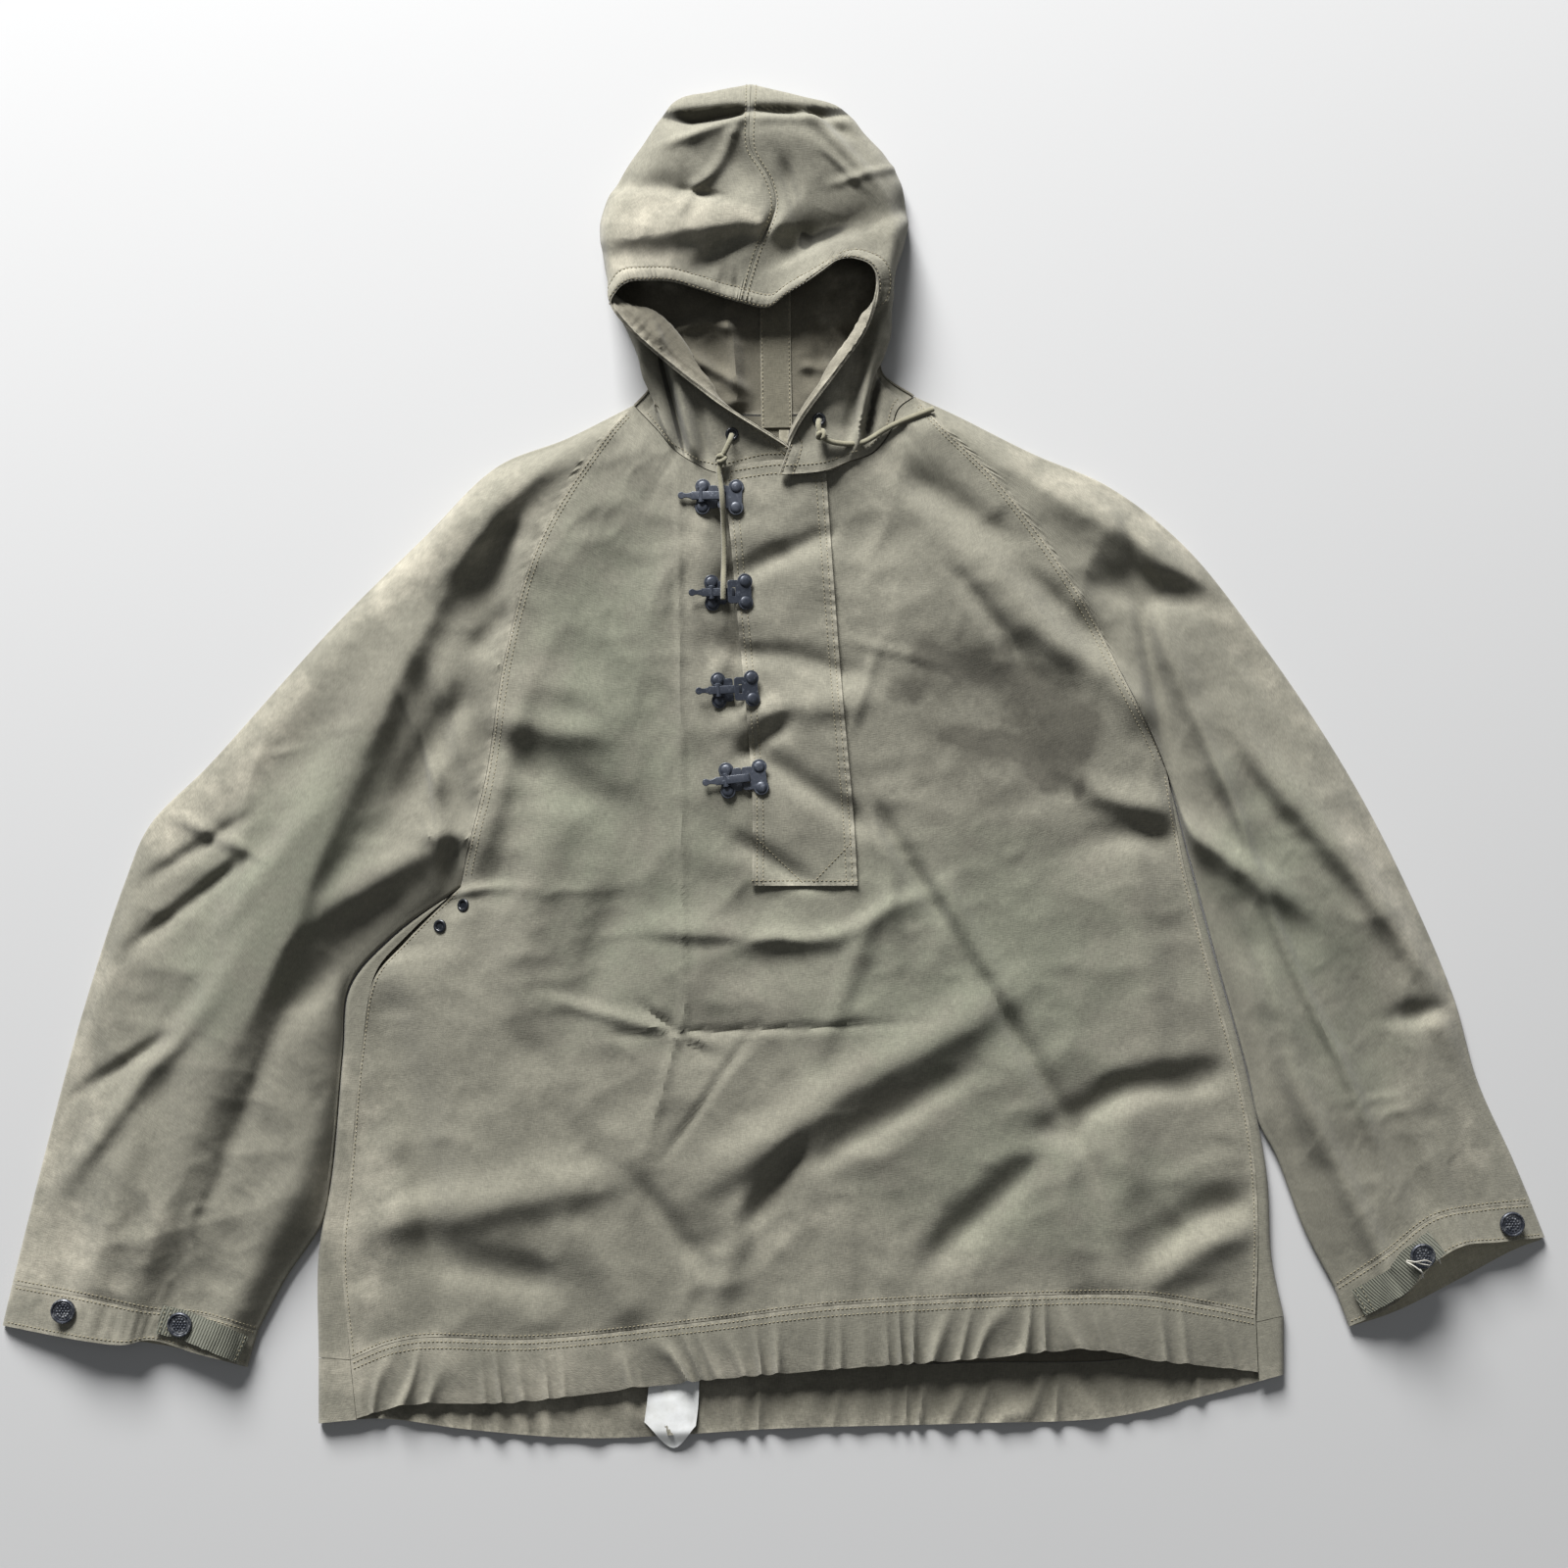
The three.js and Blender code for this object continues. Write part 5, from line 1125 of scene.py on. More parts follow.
backTop = belowRow(np.array([backPlan(np.float64(k / 60), np.float64(0.0)) for k in range(61)]))
backHemLine = follow(hemLine["backEdge"])
hemEnds = {
    "left": between(backHemLine(0.0), backTop(0.0)), "right": between(backHemLine(1.0), backTop(1.0)),
}
hemSeams = {
    "left": between(flat(hemEdgeLine(0.0)), flat(hemTop(0.0))),
    "right": between(flat(hemEdgeLine(1.0)), flat(hemTop(1.0))),
}
backHemPlan = patch(backHemLine, backTop, hemEnds["left"], hemEnds["right"])


def backHemLift(u, v):
    wave = gatherWave(u, gathers["back"], 1 - v) + gathers["backLift"]
    return wave * gathers["backDepth"] * (1 - v) * calmEnds(u)


backHem = backGrids(
    backHemPlan, hemLook["backRows"], hemLook["backColumns"], cloth["hem"], hemEnds, hemSeams,
    lambda v: 0 * v + cloth["hemFold"], lambda v: 0 * v + 1.0, backHemLift,
)
down = np.linspace(0, 1, hemLook["backRows"] + 1)[:, None] * hemLook["backWidth"]
backHemWear = np.broadcast_to(rimWear(down, 7), backHem[0].shape[:2])
clothPiece("hem_back_cloth", *backHem, ["hem_back"], edge=backHemWear, unseen=0.4)
print("body laid")


# Placket: the flap lies on the front, the shield shows beside it through the neck

flapLook = {"lift": 0.8, "rows": 170, "columns": 44, "width": 86.0, "length": 340.0, "smoothings": 6}
flapPlan = patch(*(follow(flapEdges[key]) for key in ("bottom", "top", "left", "right")))
u, v = spread(flapLook["rows"], flapLook["columns"])
point = flapPlan(u, v)
fromLeft, fromRight = u * flapLook["width"], (1 - u) * flapLook["width"]
fromEdge = np.minimum(fromLeft, fromRight)
ripple = 0.9 * np.sin(2 * pi * (7.3 * v + 0.5 * np.sin(8 * v))) * np.exp(-fromLeft / 16) * (0.5 + v)
ripple += 0.45 * np.sin(2 * pi * (31 * v + 0.6 * np.sin(19 * v))) * np.exp(-fromRight / 7)
seamDip = -0.45 * (np.exp(-(((fromEdge - 4) / 1.3) ** 2)) + np.exp(-(((fromEdge - 9) / 1.3) ** 2)))
# smooth what the flap bridges under it
bare = onFront(point[..., 0], point[..., 1])
base = bare + placketDip(point[..., 0], point[..., 1])
for _ in range(flapLook["smoothings"]):
    around = base[:-2, 1:-1] + base[2:, 1:-1] + base[1:-1, :-2] + base[1:-1, 2:]
    base[1:-1, 1:-1] = (around + 2 * base[1:-1, 1:-1]) / 6
base = np.maximum(base, bare - 0.3)
flap = raised(point, base + flapLook["lift"] + cloth["flap"] + np.maximum(ripple, -0.3) + seamDip)
fromEnds = [rimWear(v * flapLook["length"], 5), rimWear((1 - v) * flapLook["length"], 4)]
flapWear = np.maximum.reduce([rimWear(fromEdge, 4)] + fromEnds)
clothPiece("flap_cloth", flap, lowered(flap, cloth["flap"]), ["placket_flap"], edge=flapWear)
surfaces["flap"] = flap
flapTree = treeOf(flap)

shieldPlan = patch(
    follow(curve([(-80, -126), (-5, -125), (58, -122)])),
    follow(curve([(-66, 236), (46, 236)])),
    follow(curve([(-80, -126), (-86, 0), (-86, 120), (-66, 236)])),
    follow(curve([(58, -122), (58, 0), (46, 236)])),
)
shieldLook = {"rows": 60, "columns": 22, "gap": 0.7}
u, v = spread(shieldLook["rows"], shieldLook["columns"])
point = shieldPlan(u, v)
shield = raised(point, onFront(point[..., 0], point[..., 1]) - cloth["canvas"] - shieldLook["gap"])
clothPiece("shield_cloth", shield, lowered(shield, cloth["canvas"]), ["placket_shield"])
print("placket laid")


# Hood: each half runs from the centre back seam along the floor, round its rim fold, over to the face edge

hoodLook = {
    "floor": 34, "over": 132, "rows": 140, "height": 260.0, "casing": 11.0, "casingHeight": 1.3,
    "puckers": 58, "facing": 1.1, "facingGap": 0.4,
}
hoodNames = "backX backY rimX rimY fold rollZ midZ edgeX edgeY edgeZ lapel"
hoodTables = {
    "right": table(hoodNames, [
        (-25, 541, -27, 571, 11, 27, 20, -35, 393, 20, 0),
        (-22, 530, -58, 565, 11, 27, 23, -46, 396, 22, 0),
        (-19, 516, -90, 556, 10, 26, 27, -67, 403, 27, 0),
        (-16, 492, -116, 520, 9, 26, 30, -91, 410, 33, 0),
        (-13, 464, -138, 489, 9, 28, 33, -110, 411, 38, 0),
        (-10, 440, -146, 468, 9, 30, 36, -126, 410, 42, 0),
        (-9, 416, -147, 444, 9, 30, 38, -136, 403, 43, 0),
        (-8, 392, -145, 416, 8, 26, 34, -141, 390, 42, 2),
        (-8, 368, -134, 384, 8, 20, 24, -126, 370, 40, 24),
        (-8, 348, -126, 364, 7, 17, 21, -110, 351, 36, 28),
        (-8, 328, -118, 346, 7, 16, 20, -92, 327, 33, 24),
        (-8, 314, -112, 328, 6, 15, 19, -76, 306, 30, 15),
        (-8, 301, -123, 312, 5, 14, 16, -17, 265, 15, 0),
    ]),
    "left": table(hoodNames, [
        (-25, 541, -27, 571, 11, 27, 20, -35, 393, 20, 0),
        (-20, 530, 10, 562, 11, 27, 20, -14, 389, 18, 0),
        (-16, 516, 46, 552, 10, 26, 23, 2, 400, 24, 0),
        (-13, 492, 66, 530, 9, 27, 27, 18, 410, 33, 0),
        (-10, 464, 84, 510, 9, 29, 30, 32, 420, 41, 0),
        (-9, 440, 98, 484, 9, 31, 35, 44, 428, 45, 0),
        (-8, 416, 102, 460, 9, 31, 38, 58, 429, 46, 0),
        (-8, 392, 96, 436, 8, 30, 38, 72, 422, 46, 0),
        (-8, 368, 86, 408, 8, 26, 34, 77, 402, 44, 3),
        (-8, 348, 82, 384, 7, 20, 24, 68, 370, 40, 10),
        (-8, 328, 84, 362, 7, 17, 20, 46, 336, 35, 13),
        (-8, 314, 84, 338, 6, 16, 20, 16, 292, 30, 8),
        (-8, 301, 107, 320, 5, 14, 20, 0, 252, 26, 0),
    ]),
}
crownSeam = curve([
    (-27, 571, 11), (-28, 550, 27), (-27, 501, 22), (-12, 482, 21), (-7, 461, 20), (-22, 430, 20),
    (-35, 393, 20),
])
hoodBackNeck = {
    "right": curve([(-8, 301.5), (-60, 303.5), (-123, 312)]),
    "left": curve([(-8, 301.5), (50, 304.5), (107, 320)]),
}
lapelRun = {"right": (0.72, 0.69, -0.42), "left": (-0.85, 0.2, -0.42)}


def hoodNeck(hand, t):  # the front's neck seam; the right end dips under the flap, the left lies on it
    if hand == "right":
        point = beside(frontNeck, t * 0.6, 2.5 * cloth["seamGap"])
        end = ease((t - 0.55) / 0.3)
        start = 1 - ease(t / 0.15)
        return point + np.outer(end, (0, 8, -5)) - np.outer(start, (0, 0, 4))
    point = beside(frontNeck, 1 - t * 0.5, 4 * cloth["seamGap"])
    lift = 8 * ease((t - 0.45) / 0.3) - 4 * (1 - ease(t / 0.15))
    return point + np.array([0, 0, 1]) * lift[:, None]


def tableAt(rows, share):  # smooth between a table's rows
    place = share * (len(rows) - 1)
    k = min(int(place), len(rows) - 2)
    t = place - k
    near = [rows[min(max(n, 0), len(rows) - 1)] for n in (k - 1, k, k + 1, k + 2)]
    row = {}
    for key in rows[0]:
        a, b, c, d = (r[key] for r in near)
        bend = (2 * a - 5 * b + 4 * c - d) * t**2 + (3 * b - a - 3 * c + d) * t**3
        row[key] = 0.5 * (2 * b + (c - a) * t + bend)
    return row


def hoodPath(hand, share):
    row = tableAt(hoodTables[hand], share)
    rim = np.array([row["rimX"], row["rimY"], 0.0])
    edge = np.array([row["edgeX"], row["edgeY"], row["edgeZ"]])
    lapel = max(row["lapel"], 0)
    roll = edge + np.array(lapelRun[hand]) * lapel
    inwards = flat(roll - rim)
    reach = max(np.linalg.norm(inwards), 1)
    inwards = inwards / reach
    back = np.array([row["backX"], row["backY"], 0.0])
    toBack = unit(back - rim)
    start = rim + toBack * row["fold"] * 1.2
    low = rim + toBack * row["fold"] * 0.25
    low[2] = row["fold"] * 0.28
    lifted = lambda part, z: np.array([*(rim + inwards * part * reach)[:2], z])
    steps = [start, low, lifted(0, row["fold"]), lifted(0.2, row["rollZ"]), lifted(0.62, row["midZ"])]
    turned = float(ease(lapel / 8))
    under = np.array([roll[0], roll[1], mix(row["midZ"], roll[2], 0.6)])
    steps.append(mix(mix(steps[4], edge, 0.4), under, turned))
    steps.append(mix(mix(steps[4], edge, 0.75), mix(roll, edge, 0.35), turned))
    over = curve([tuple(p) for p in steps + [edge]])
    part = np.linspace(0, 1, hoodLook["floor"], endpoint=False)[:, None]
    return np.vstack([back + (start - back) * part, along(over, np.linspace(0, 1, hoodLook["over"] + 1))])


def hoodGrids(hand):
    sign = -1 if hand == "right" else 1
    floor, over, rows = hoodLook["floor"], hoodLook["over"], hoodLook["rows"]
    part = np.maximum(np.arange(floor + over + 1) - floor, 0) / over
    crownPath, neckPath = hoodPath(hand, 0.0), hoodPath(hand, 1.0)
    seam = np.vstack([along(hoodBackNeck[hand], np.arange(floor) / floor), hoodNeck(hand, part[floor:])])
    crown = along(crownSeam, part * 0.97 + 0.03)
    inCrown = np.where(part > 0.2, ease((part - 0.2) / 0.25), 0)
    outer = []
    for share in np.linspace(0, 1, rows + 1):
        toNeck = float(ease((share - 0.62) / 0.38)) ** 1.5
        toCrown = (1 - min(share / 0.5, 1)) ** 2
        line = hoodPath(hand, share) + (seam - neckPath) * toNeck
        line[:, 0] += (crown[:, 0] - crownPath[:, 0]) * toCrown * inCrown
        line[:, 2] += (crown[:, 2] - crownPath[:, 2]) * toCrown * inCrown * 0.5
        line[:, 2] = np.maximum(line[:, 2], 0)
        outer.append(line)
    outer = np.array(outer)

    def facing(grid):
        down = np.gradient(grid, axis=0)
        down[0] = (sign, 0, 0)
        return unit(np.cross(np.gradient(grid, axis=1), down)) * sign

    normals = facing(outer)
    lengths = np.linalg.norm(np.diff(outer, axis=1), axis=-1)
    toEdge = np.concatenate([np.cumsum(lengths[:, ::-1], axis=1)[:, ::-1], np.zeros((rows + 1, 1))], 1)
    share = np.linspace(0, 1, rows + 1)[:, None]
    # drawcord casing along the face edge, puckered by the cord
    inCasing = np.clip(toEdge / hoodLook["casing"], 0, 1)
    casing = hoodLook["casingHeight"] * np.sin(pi * inCasing) ** 0.7
    step = hoodLook["puckers"] * share + 0.7 * np.sin(13 * share) + 0.3 * np.sin(41 * share)
    pucker = 0.75 * np.sin(2 * pi * step) * (0.55 + 0.45 * np.sin(17 * share + 2))
    puckered = pucker * np.exp(-toEdge / 20) * ease(toEdge / 3)
    x, y = outer[..., 0], outer[..., 1]
    rumple = 0.8 * creased(x, y, 46, 0.4) + 0.45 * creased(x, y, 24, 1.2) + foldHeight(hoodFolds, x, y)
    calm = ease((part - 0.06) / 0.15)[None] * ease(np.minimum(share / 0.04, (1 - share) / 0.05) * 0.8 + 0.2)
    push = casing + puckered + rumple * calm * ease(toEdge / 14)
    outer = outer + normals * push[..., None]
    onFloor = np.clip(np.arange(floor + over + 1) / floor, 0, 1)
    lifted = ease((onFloor - 0.12) / 0.2) * ease((1 - onFloor) / 0.25)
    lifted = lifted * ease((share - 0.1) / 0.2) * ease((1 - share) / 0.06)
    wrinkle = 2.2 + 2.0 * creased(x, y, 31, 0.9) + creased(x, y, 14, 0.2) + foldHeight(hoodBackFolds, x, y)
    outer[..., 2] = np.maximum(outer[..., 2], 0) + np.maximum(wrinkle, 0) * lifted
    normals = facing(outer)
    inner = outer - normals * cloth["canvas"]
    inner[:, : floor + 2] = raised(outer[:, : floor + 2], outer[:, : floor + 2, 2] + cloth["canvas"])
    apart = np.array([sign * cloth["seamGap"] / 2, 0, 0])
    return outer + apart, inner + apart, normals, toEdge


hoodBackFolds = table("fromX fromY toX toY bend left right height", [
    (-84, 372, -50, 374, 4, 6, 6, 6), (-46, 372, -40, 330, 3, 5, 6, 6), (-78, 352, -62, 326, 3, 7, 7, 5),
    (-60, 340, -30, 322, 0, 5, 5, 4), (40, 372, 60, 340, 0, 7, 7, 4), (22, 340, 48, 330, 3, 5, 5, 3),
    (-40, 304, -18, 298, 0, 4, 4, 3),
])
hoodFolds = table("fromX fromY toX toY bend left right height", [
    (-76, 547, 42, 549, 3, 5, 4, -11), (-74, 542, -42, 546, 0, 7, 5, -8), (32, 546, 46, 536, 0, 6, 5, -7),
    (-72, 531, -32, 545, 2, 5, 4, 5), (-32, 545, 24, 543, 2, 6, 4, 5), (24, 543, 58, 507, 0, 5, 5, 5),
    (-46, 523, -34, 496, 0, 13, 11, -6), (-43, 530, -70, 490, 5, 5, 4, 4),
    (-74, 484, -62, 482, 0, 3, 3, -3), (-104, 449, -12, 458, 4, 11, 22, 8),
    (-61, 427, -43, 441, 0, 9, 9, -6), (3, 493, 13, 456, 0, 5, 5, -5), (40, 512, 58, 495, 0, 4, 4, 3),
    (58, 495, 85, 502, 0, 4, 4, 3), (98, 469, 34, 448, 0, 16, 8, -6), (34, 448, 2, 431, 0, 12, 6, -3),
    (-134, 490, -74, 482, 2, 6, 11, -5), (78, 393, 60, 287, 2, 6, 6, 9), (75, 326, 69, 296, 0, 5, 6, -12),
    (64, 356, 56, 304, 0, 5, 5, -4), (-109, 332, -94, 286, 0, 4, 4, 6), (-99, 338, -85, 282, 0, 4, 4, -9),
    (-85, 322, -74, 278, 0, 5, 5, 6), (-70, 304, -64, 272, 0, 5, 5, -5), (-51, 410, -53, 397, 0, 3, 3, -2),
    (-46, 408, -46, 395, 0, 3, 3, -2), (-39, 406, -39, 394, 0, 3, 3, -2), (80, 368, 77, 342, 0, 3, 3, 3),
])
hoods = {}
for hand in ("right", "left"):
    outer, inner, normals, toEdge = hoodGrids(hand)
    hoods[hand] = {"outer": outer, "normals": normals, "toEdge": toEdge}
    toNeck = np.linspace(hoodLook["height"], 0, hoodLook["rows"] + 1)[:, None]
    onCasing = rimWear(np.abs(toEdge - hoodLook["casing"]), 2) * 0.6
    wear = np.maximum(np.maximum(rimWear(toEdge, 6), onCasing), rimWear(toNeck, 4))
    # The seam mask darkens the colour: a painted shadow line along the face edge, painted shade in the
    # deepest tucks, and a dark line along the casing's inner edge.
    paintedTuckShade = ease((-foldHeight(hoodFolds, outer[..., 0], outer[..., 1]) - 5.5) / 3)
    casingLine = 0.5 * np.exp(-((toEdge - hoodLook["casing"] - 1) ** 2))
    seam = np.maximum(np.exp(-(((toEdge - 1.6) / 1.1) ** 2)) + casingLine, paintedTuckShade)
    clothPiece(f"hood_{hand}_cloth", outer, inner, [f"hood_{hand}"], edge=wear, seam=seam)
    wide = hoodLook["over"] // 4
    strip, across = outer[:, -wide - 1 :], normals[:, -wide - 1 :]
    depth = cloth["canvas"] + hoodLook["facingGap"]
    facingWear = np.maximum(rimWear(toEdge[:, -wide - 1 :], 6), rimWear(9, 3))
    under = strip - across * (depth + hoodLook["facing"])
    clothPiece(f"hood_facing_{hand}_cloth", strip - across * depth, under, [f"hood_facing_{hand}"],
               edge=facingWear)
hoodTree = {hand: treeOf(hoods[hand]["outer"]) for hand in hoods}
print("hood laid")


# Straps: the tape over the hood's centre seam, the hanger and the two cuff tabs

def strap(name, line, width, thick, spans, nodes, material, columns=14, crown=0.0, fray=0.0, over=None):
    t = np.linspace(0, 1, spans + 1)[:, None]
    aside = np.linspace(-0.5, 0.5, columns + 1)[None, :]
    run = heading(line, t)
    point = along(line, t)
    uneven = 1 + fray * lumps(t * 130, 0 * t + 3, 4.0)
    normal = unit(np.stack([-run[..., 1], run[..., 0], 0 * run[..., 0]], -1))
    grid = point - normal * (aside * width * uneven)[..., None]
    grid = raised(grid, grid[..., 2] + crown * (1 - (2 * aside) ** 2) + 0 * t)
    if over:
        least = over(grid[..., 0], grid[..., 1]) + thick + cloth["seamGap"]
        grid = raised(grid, np.maximum(grid[..., 2], least))
    edge = np.broadcast_to(rimWear((0.5 - np.abs(aside)) * width, 1.2), grid.shape[:2])
    outer = grid.transpose(1, 0, 2)
    return clothPiece(name, outer, lowered(outer, thick), nodes, edge=edge.T, material=material), grid


tape = {"width": 25, "thick": 1.2, "crown": 0.35}
hanger = {"width": 8, "thick": 1, "crown": 0.3}
tab = {"width": 24, "thick": 1.6, "crown": 0.4, "fray": 0.05}
tapeZ = cloth["canvas"] + cloth["seamGap"] + tape["thick"]
tapeLine = curve([(-6, 291, tapeZ), (-7, 360, tapeZ), (-8, 430, tapeZ), (-16, 500, tapeZ), (-20, 522, tapeZ)])
# The tape and the hanger take the darker canvas: painted shade.
_, tapeGrid = strap("hood_tape_cloth", tapeLine, tape["width"], tape["thick"], 120, ["hood_tape"],
                    "paintedShadeCanvas", 16, tape["crown"])
hangerLine = curve([(0, 289, 3), (0, 284, 5), (0, 278, 8), (0, 272, 5), (0, 267, 3)])
strap("hanger_webbing", hangerLine, hanger["width"], hanger["thick"], 40, ["hanger_loop"],
      "paintedShadeCanvas", 10, hanger["crown"])

cuffTrees = {hand: treeOf(surfaces[f"cuff_{hand}"]) for hand in ("right", "left")}


def onCuff(hand, x, y):
    return heightOn(cuffTrees[hand], x, y, 2 * cloth["sleeveFold"])


def layTab(hand, rows):
    return curve([(x, y, onCuff(hand, x, y) + 2.2 + rise) for x, y, rise in rows])


tabs = {
    "right": [(-510, -437, 1.2), (-490, -442, 0.8), (-465, -452, 0.8), (-442, -462, 1)],
    "left": [
        (469, -424, 1.8), (487, -414, 1.4), (503, -404, 4), (511, -392, 10), (521, -384, 12),
        (533, -374, 9),
    ],
}
tabGrids = {}
for hand, rows in tabs.items():
    _, tabGrids[hand] = strap(f"cuff_tab_{hand}_webbing", layTab(hand, rows), tab["width"], tab["thick"], 90,
                              [f"cuff_tab_{hand}"], "webbing", 24, tab["crown"], tab["fray"],
                              np.vectorize(lambda x, y: onCuff(hand, x, y)))
frays = [  # worn ends of the left tab's sewing: x, y and rise above the cuff
    [(508, -389, 16), (514, -390, 18.4), (521, -392, 18.2), (527, -393, 16.5)],
    [(508, -390, 16), (515, -394, 18.6), (520, -398, 17.4), (522, -403, 14.8)],
    [(509, -391, 15.6), (517, -390, 18.8), (524, -389, 18.4), (529, -391, 16.8)],
    [(519, -396, 17), (521, -399, 16), (520, -404, 13.6)],
    [(531, -386, 15), (535, -389, 13.5), (536, -392, 12)],
]
fray = {"radius": 0.55, "sides": 8, "steps": 24}


def layThreads(name, hand, routes):
    skins, faces, cuts = [], [], []
    for rows in routes:
        line = curve([(x, y, onCuff(hand, x, y) + rise) for x, y, rise in rows])
        skin, sides, cut = sweep(along(line, np.linspace(0, 1, fray["steps"])), fray["radius"], fray["sides"])
        first = sum(map(len, skins))
        faces += [[first + corner for corner in side] for side in sides]
        skins.append(skin)
        cuts.append(cut)
    newPiece(name, placed(np.vstack(skins)), faces, materials["paleThread"], np.vstack(cuts))


layThreads("cuff_tab_threads", "left", frays)
print("straps laid")


# Label: blank white woven cloth, folded, inside the back hem

labelPlan = patch(
    follow(curve([(-114, -521), (-90, -542), (-72, -524)])),
    follow(curve([(-110, -480), (-69, -478)])),
    follow(curve([(-114, -521), (-111, -497), (-110, -480)])),
    follow(curve([(-72, -524), (-70, -507), (-69, -478)])),
)
u, v = spread(40, 30)
point = labelPlan(u, v)
x, y = point[..., 0], point[..., 1]
tip = ease((labelLook["tipFrom"] - y) / labelLook["tipRun"])
bow = 0.9 * np.exp(-(((x + 92 + 0.25 * (y + 505)) / 5) ** 2)) + 0.3 * lumps(x, y, 9)
bow = bow * ease(np.minimum(u, 1 - u) / 0.1)
labelTop = raised(point, mix(labelLook["seat"], labelLook["tip"], tip) + bow)
clothPiece("label_cloth", labelTop, lowered(labelTop, labelLook["thick"]), ["label"], material="label")


# Hardware

def joinMeshes(name, meshes, place, material, node):
    points, faces, start = [], [], 0
    for mesh in meshes:
        points += [place @ vertex.co for vertex in mesh.vertices]
        faces += [[start + k for k in face.vertices] for face in mesh.polygons]
        start += len(mesh.vertices)
        bpy.data.meshes.remove(mesh)
    points = np.array([tuple(p) for p in points])
    piece = newPiece(name, points, faces, materials[material], sharp=38)
    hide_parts(node)


def lathed(profile, sides):  # profile is (radius, z) in millimetres, from axis to axis or closed
    closed = profile[0] == profile[-1]
    rings = profile[:-1] if closed else profile
    angle = np.linspace(0, 2 * pi, sides, endpoint=False)
    points, faces, starts = [], [], []
    for radius, z in rings:
        starts.append(len(points))
        if radius < 1e-6:
            points.append((0, 0, z))
        else:
            points += [(radius * cos(a), radius * sin(a), z) for a in angle]
    pairs = list(zip(range(len(rings)), range(1, len(rings)))) + ([(len(rings) - 1, 0)] if closed else [])
    for a, b in pairs:
        for k in range(sides):
            n = (k + 1) % sides
            low = [starts[a]] if rings[a][0] < 1e-6 else [starts[a] + k, starts[a] + n]
            high = [starts[b]] if rings[b][0] < 1e-6 else [starts[b] + n, starts[b] + k]
            faces.append(low + high)
    mesh = bpy.data.meshes.new("turned")
    mesh.from_pydata(points, [], faces)
    return mesh


def cutPlate(outlines, thickness, bevel, steps=2):  # a flat shape with rounded edges, holes allowed
    data = bpy.data.curves.new("outline", "CURVE")
    data.dimensions = "2D"
    data.fill_mode = "BOTH"
    data.extrude = thickness / 2 - bevel
    data.bevel_depth = bevel
    data.bevel_resolution = steps
    data.offset = -bevel
    for outline in outlines:
        spline = data.splines.new("POLY")
        spline.points.add(len(outline) - 1)
        spline.points.foreach_set("co", [n for x, y in outline for n in (x, y, 0, 1)])
        spline.use_cyclic_u = True
    holder = linked("outline", data)
    mesh = bpy.data.meshes.new_from_object(holder.evaluated_get(bpy.context.evaluated_depsgraph_get()))
    bpy.data.objects.remove(holder)
    bpy.data.curves.remove(data)
    return mesh


def shifted(mesh, x=0.0, y=0.0, z=0.0, turn=None):
    mesh.transform(turn or Matrix())
    mesh.transform(Matrix.Translation((x, y, z)))
    return mesh


def seatAt(place, normal, turn):  # a hard piece on the cloth, millimetres to metres
    lean = Vector((0, 0, 1)).rotation_difference(Vector(normal)).to_matrix().to_4x4()
    spin = Matrix.Rotation(radians(turn), 4, "Z")
    spot = placed(np.array([place]))[0]
    return Matrix.Translation(spot) @ lean @ spin @ Matrix.Scale(0.001, 4)


def slopeAt(height, x, y, reach):
    run = (height(x + reach, y) - height(x - reach, y)) / (2 * reach)
    climb = (height(x, y + reach) - height(x, y - reach)) / (2 * reach)
    return Vector((-float(run), -float(climb), 1)).normalized()


clasp = {
    "lobe": 6.2, "waist": 5.0, "rivetStep": 8.3, "plate": 1.2, "rivet": 4.6, "rivetHeight": 1.5,
    "lever": 6.6, "reach": 27.2, "bodyHalf": 9.4, "leverBody": 12.2, "catchBody": 14.5,
}
clasps = table("x y turn", [(-66.4, 234.4, -1), (-59, 156, 2), (-53.6, 76.4, 3.5), (-46.4, 2.8, 6)])


def plateOutline(body):  # round lobes at the rivets, and a body reaching inwards between them
    lobe, half = clasp["lobe"], clasp["bodyHalf"]
    waist = np.arccos(clasp["waist"] / lobe)
    arc = np.linspace(0.1, pi + waist, 22)
    upper = [(body, half - 2), (body - 0.6, half - 0.6), (body - 2, half), (lobe + 0.6, half)]
    upper += [(lobe * cos(a), clasp["rivetStep"] + lobe * sin(a)) for a in arc]
    return upper + [(x, -y) for x, y in reversed(upper)]


def rivetHead():
    r, top = clasp["rivet"], clasp["plate"] + clasp["rivetHeight"]
    low = clasp["plate"]
    return lathed([
        (0, low - 0.6), (r, low - 0.6), (r, low + 0.2), (r * 0.95, low + 0.6), (r * 0.8, top - 0.42),
        (r * 0.5, top - 0.1), (r * 0.2, top), (0, top),
    ], 28)


def claspPlate(body, window, facing):
    outlines = [[(facing * x, y) for x, y in plateOutline(body)]] + window
    meshes = [shifted(cutPlate(outlines, clasp["plate"], 0.35), z=clasp["plate"] / 2)]
    for y in (clasp["rivetStep"], -clasp["rivetStep"]):
        meshes.append(shifted(rivetHead(), y=y))
    return meshes


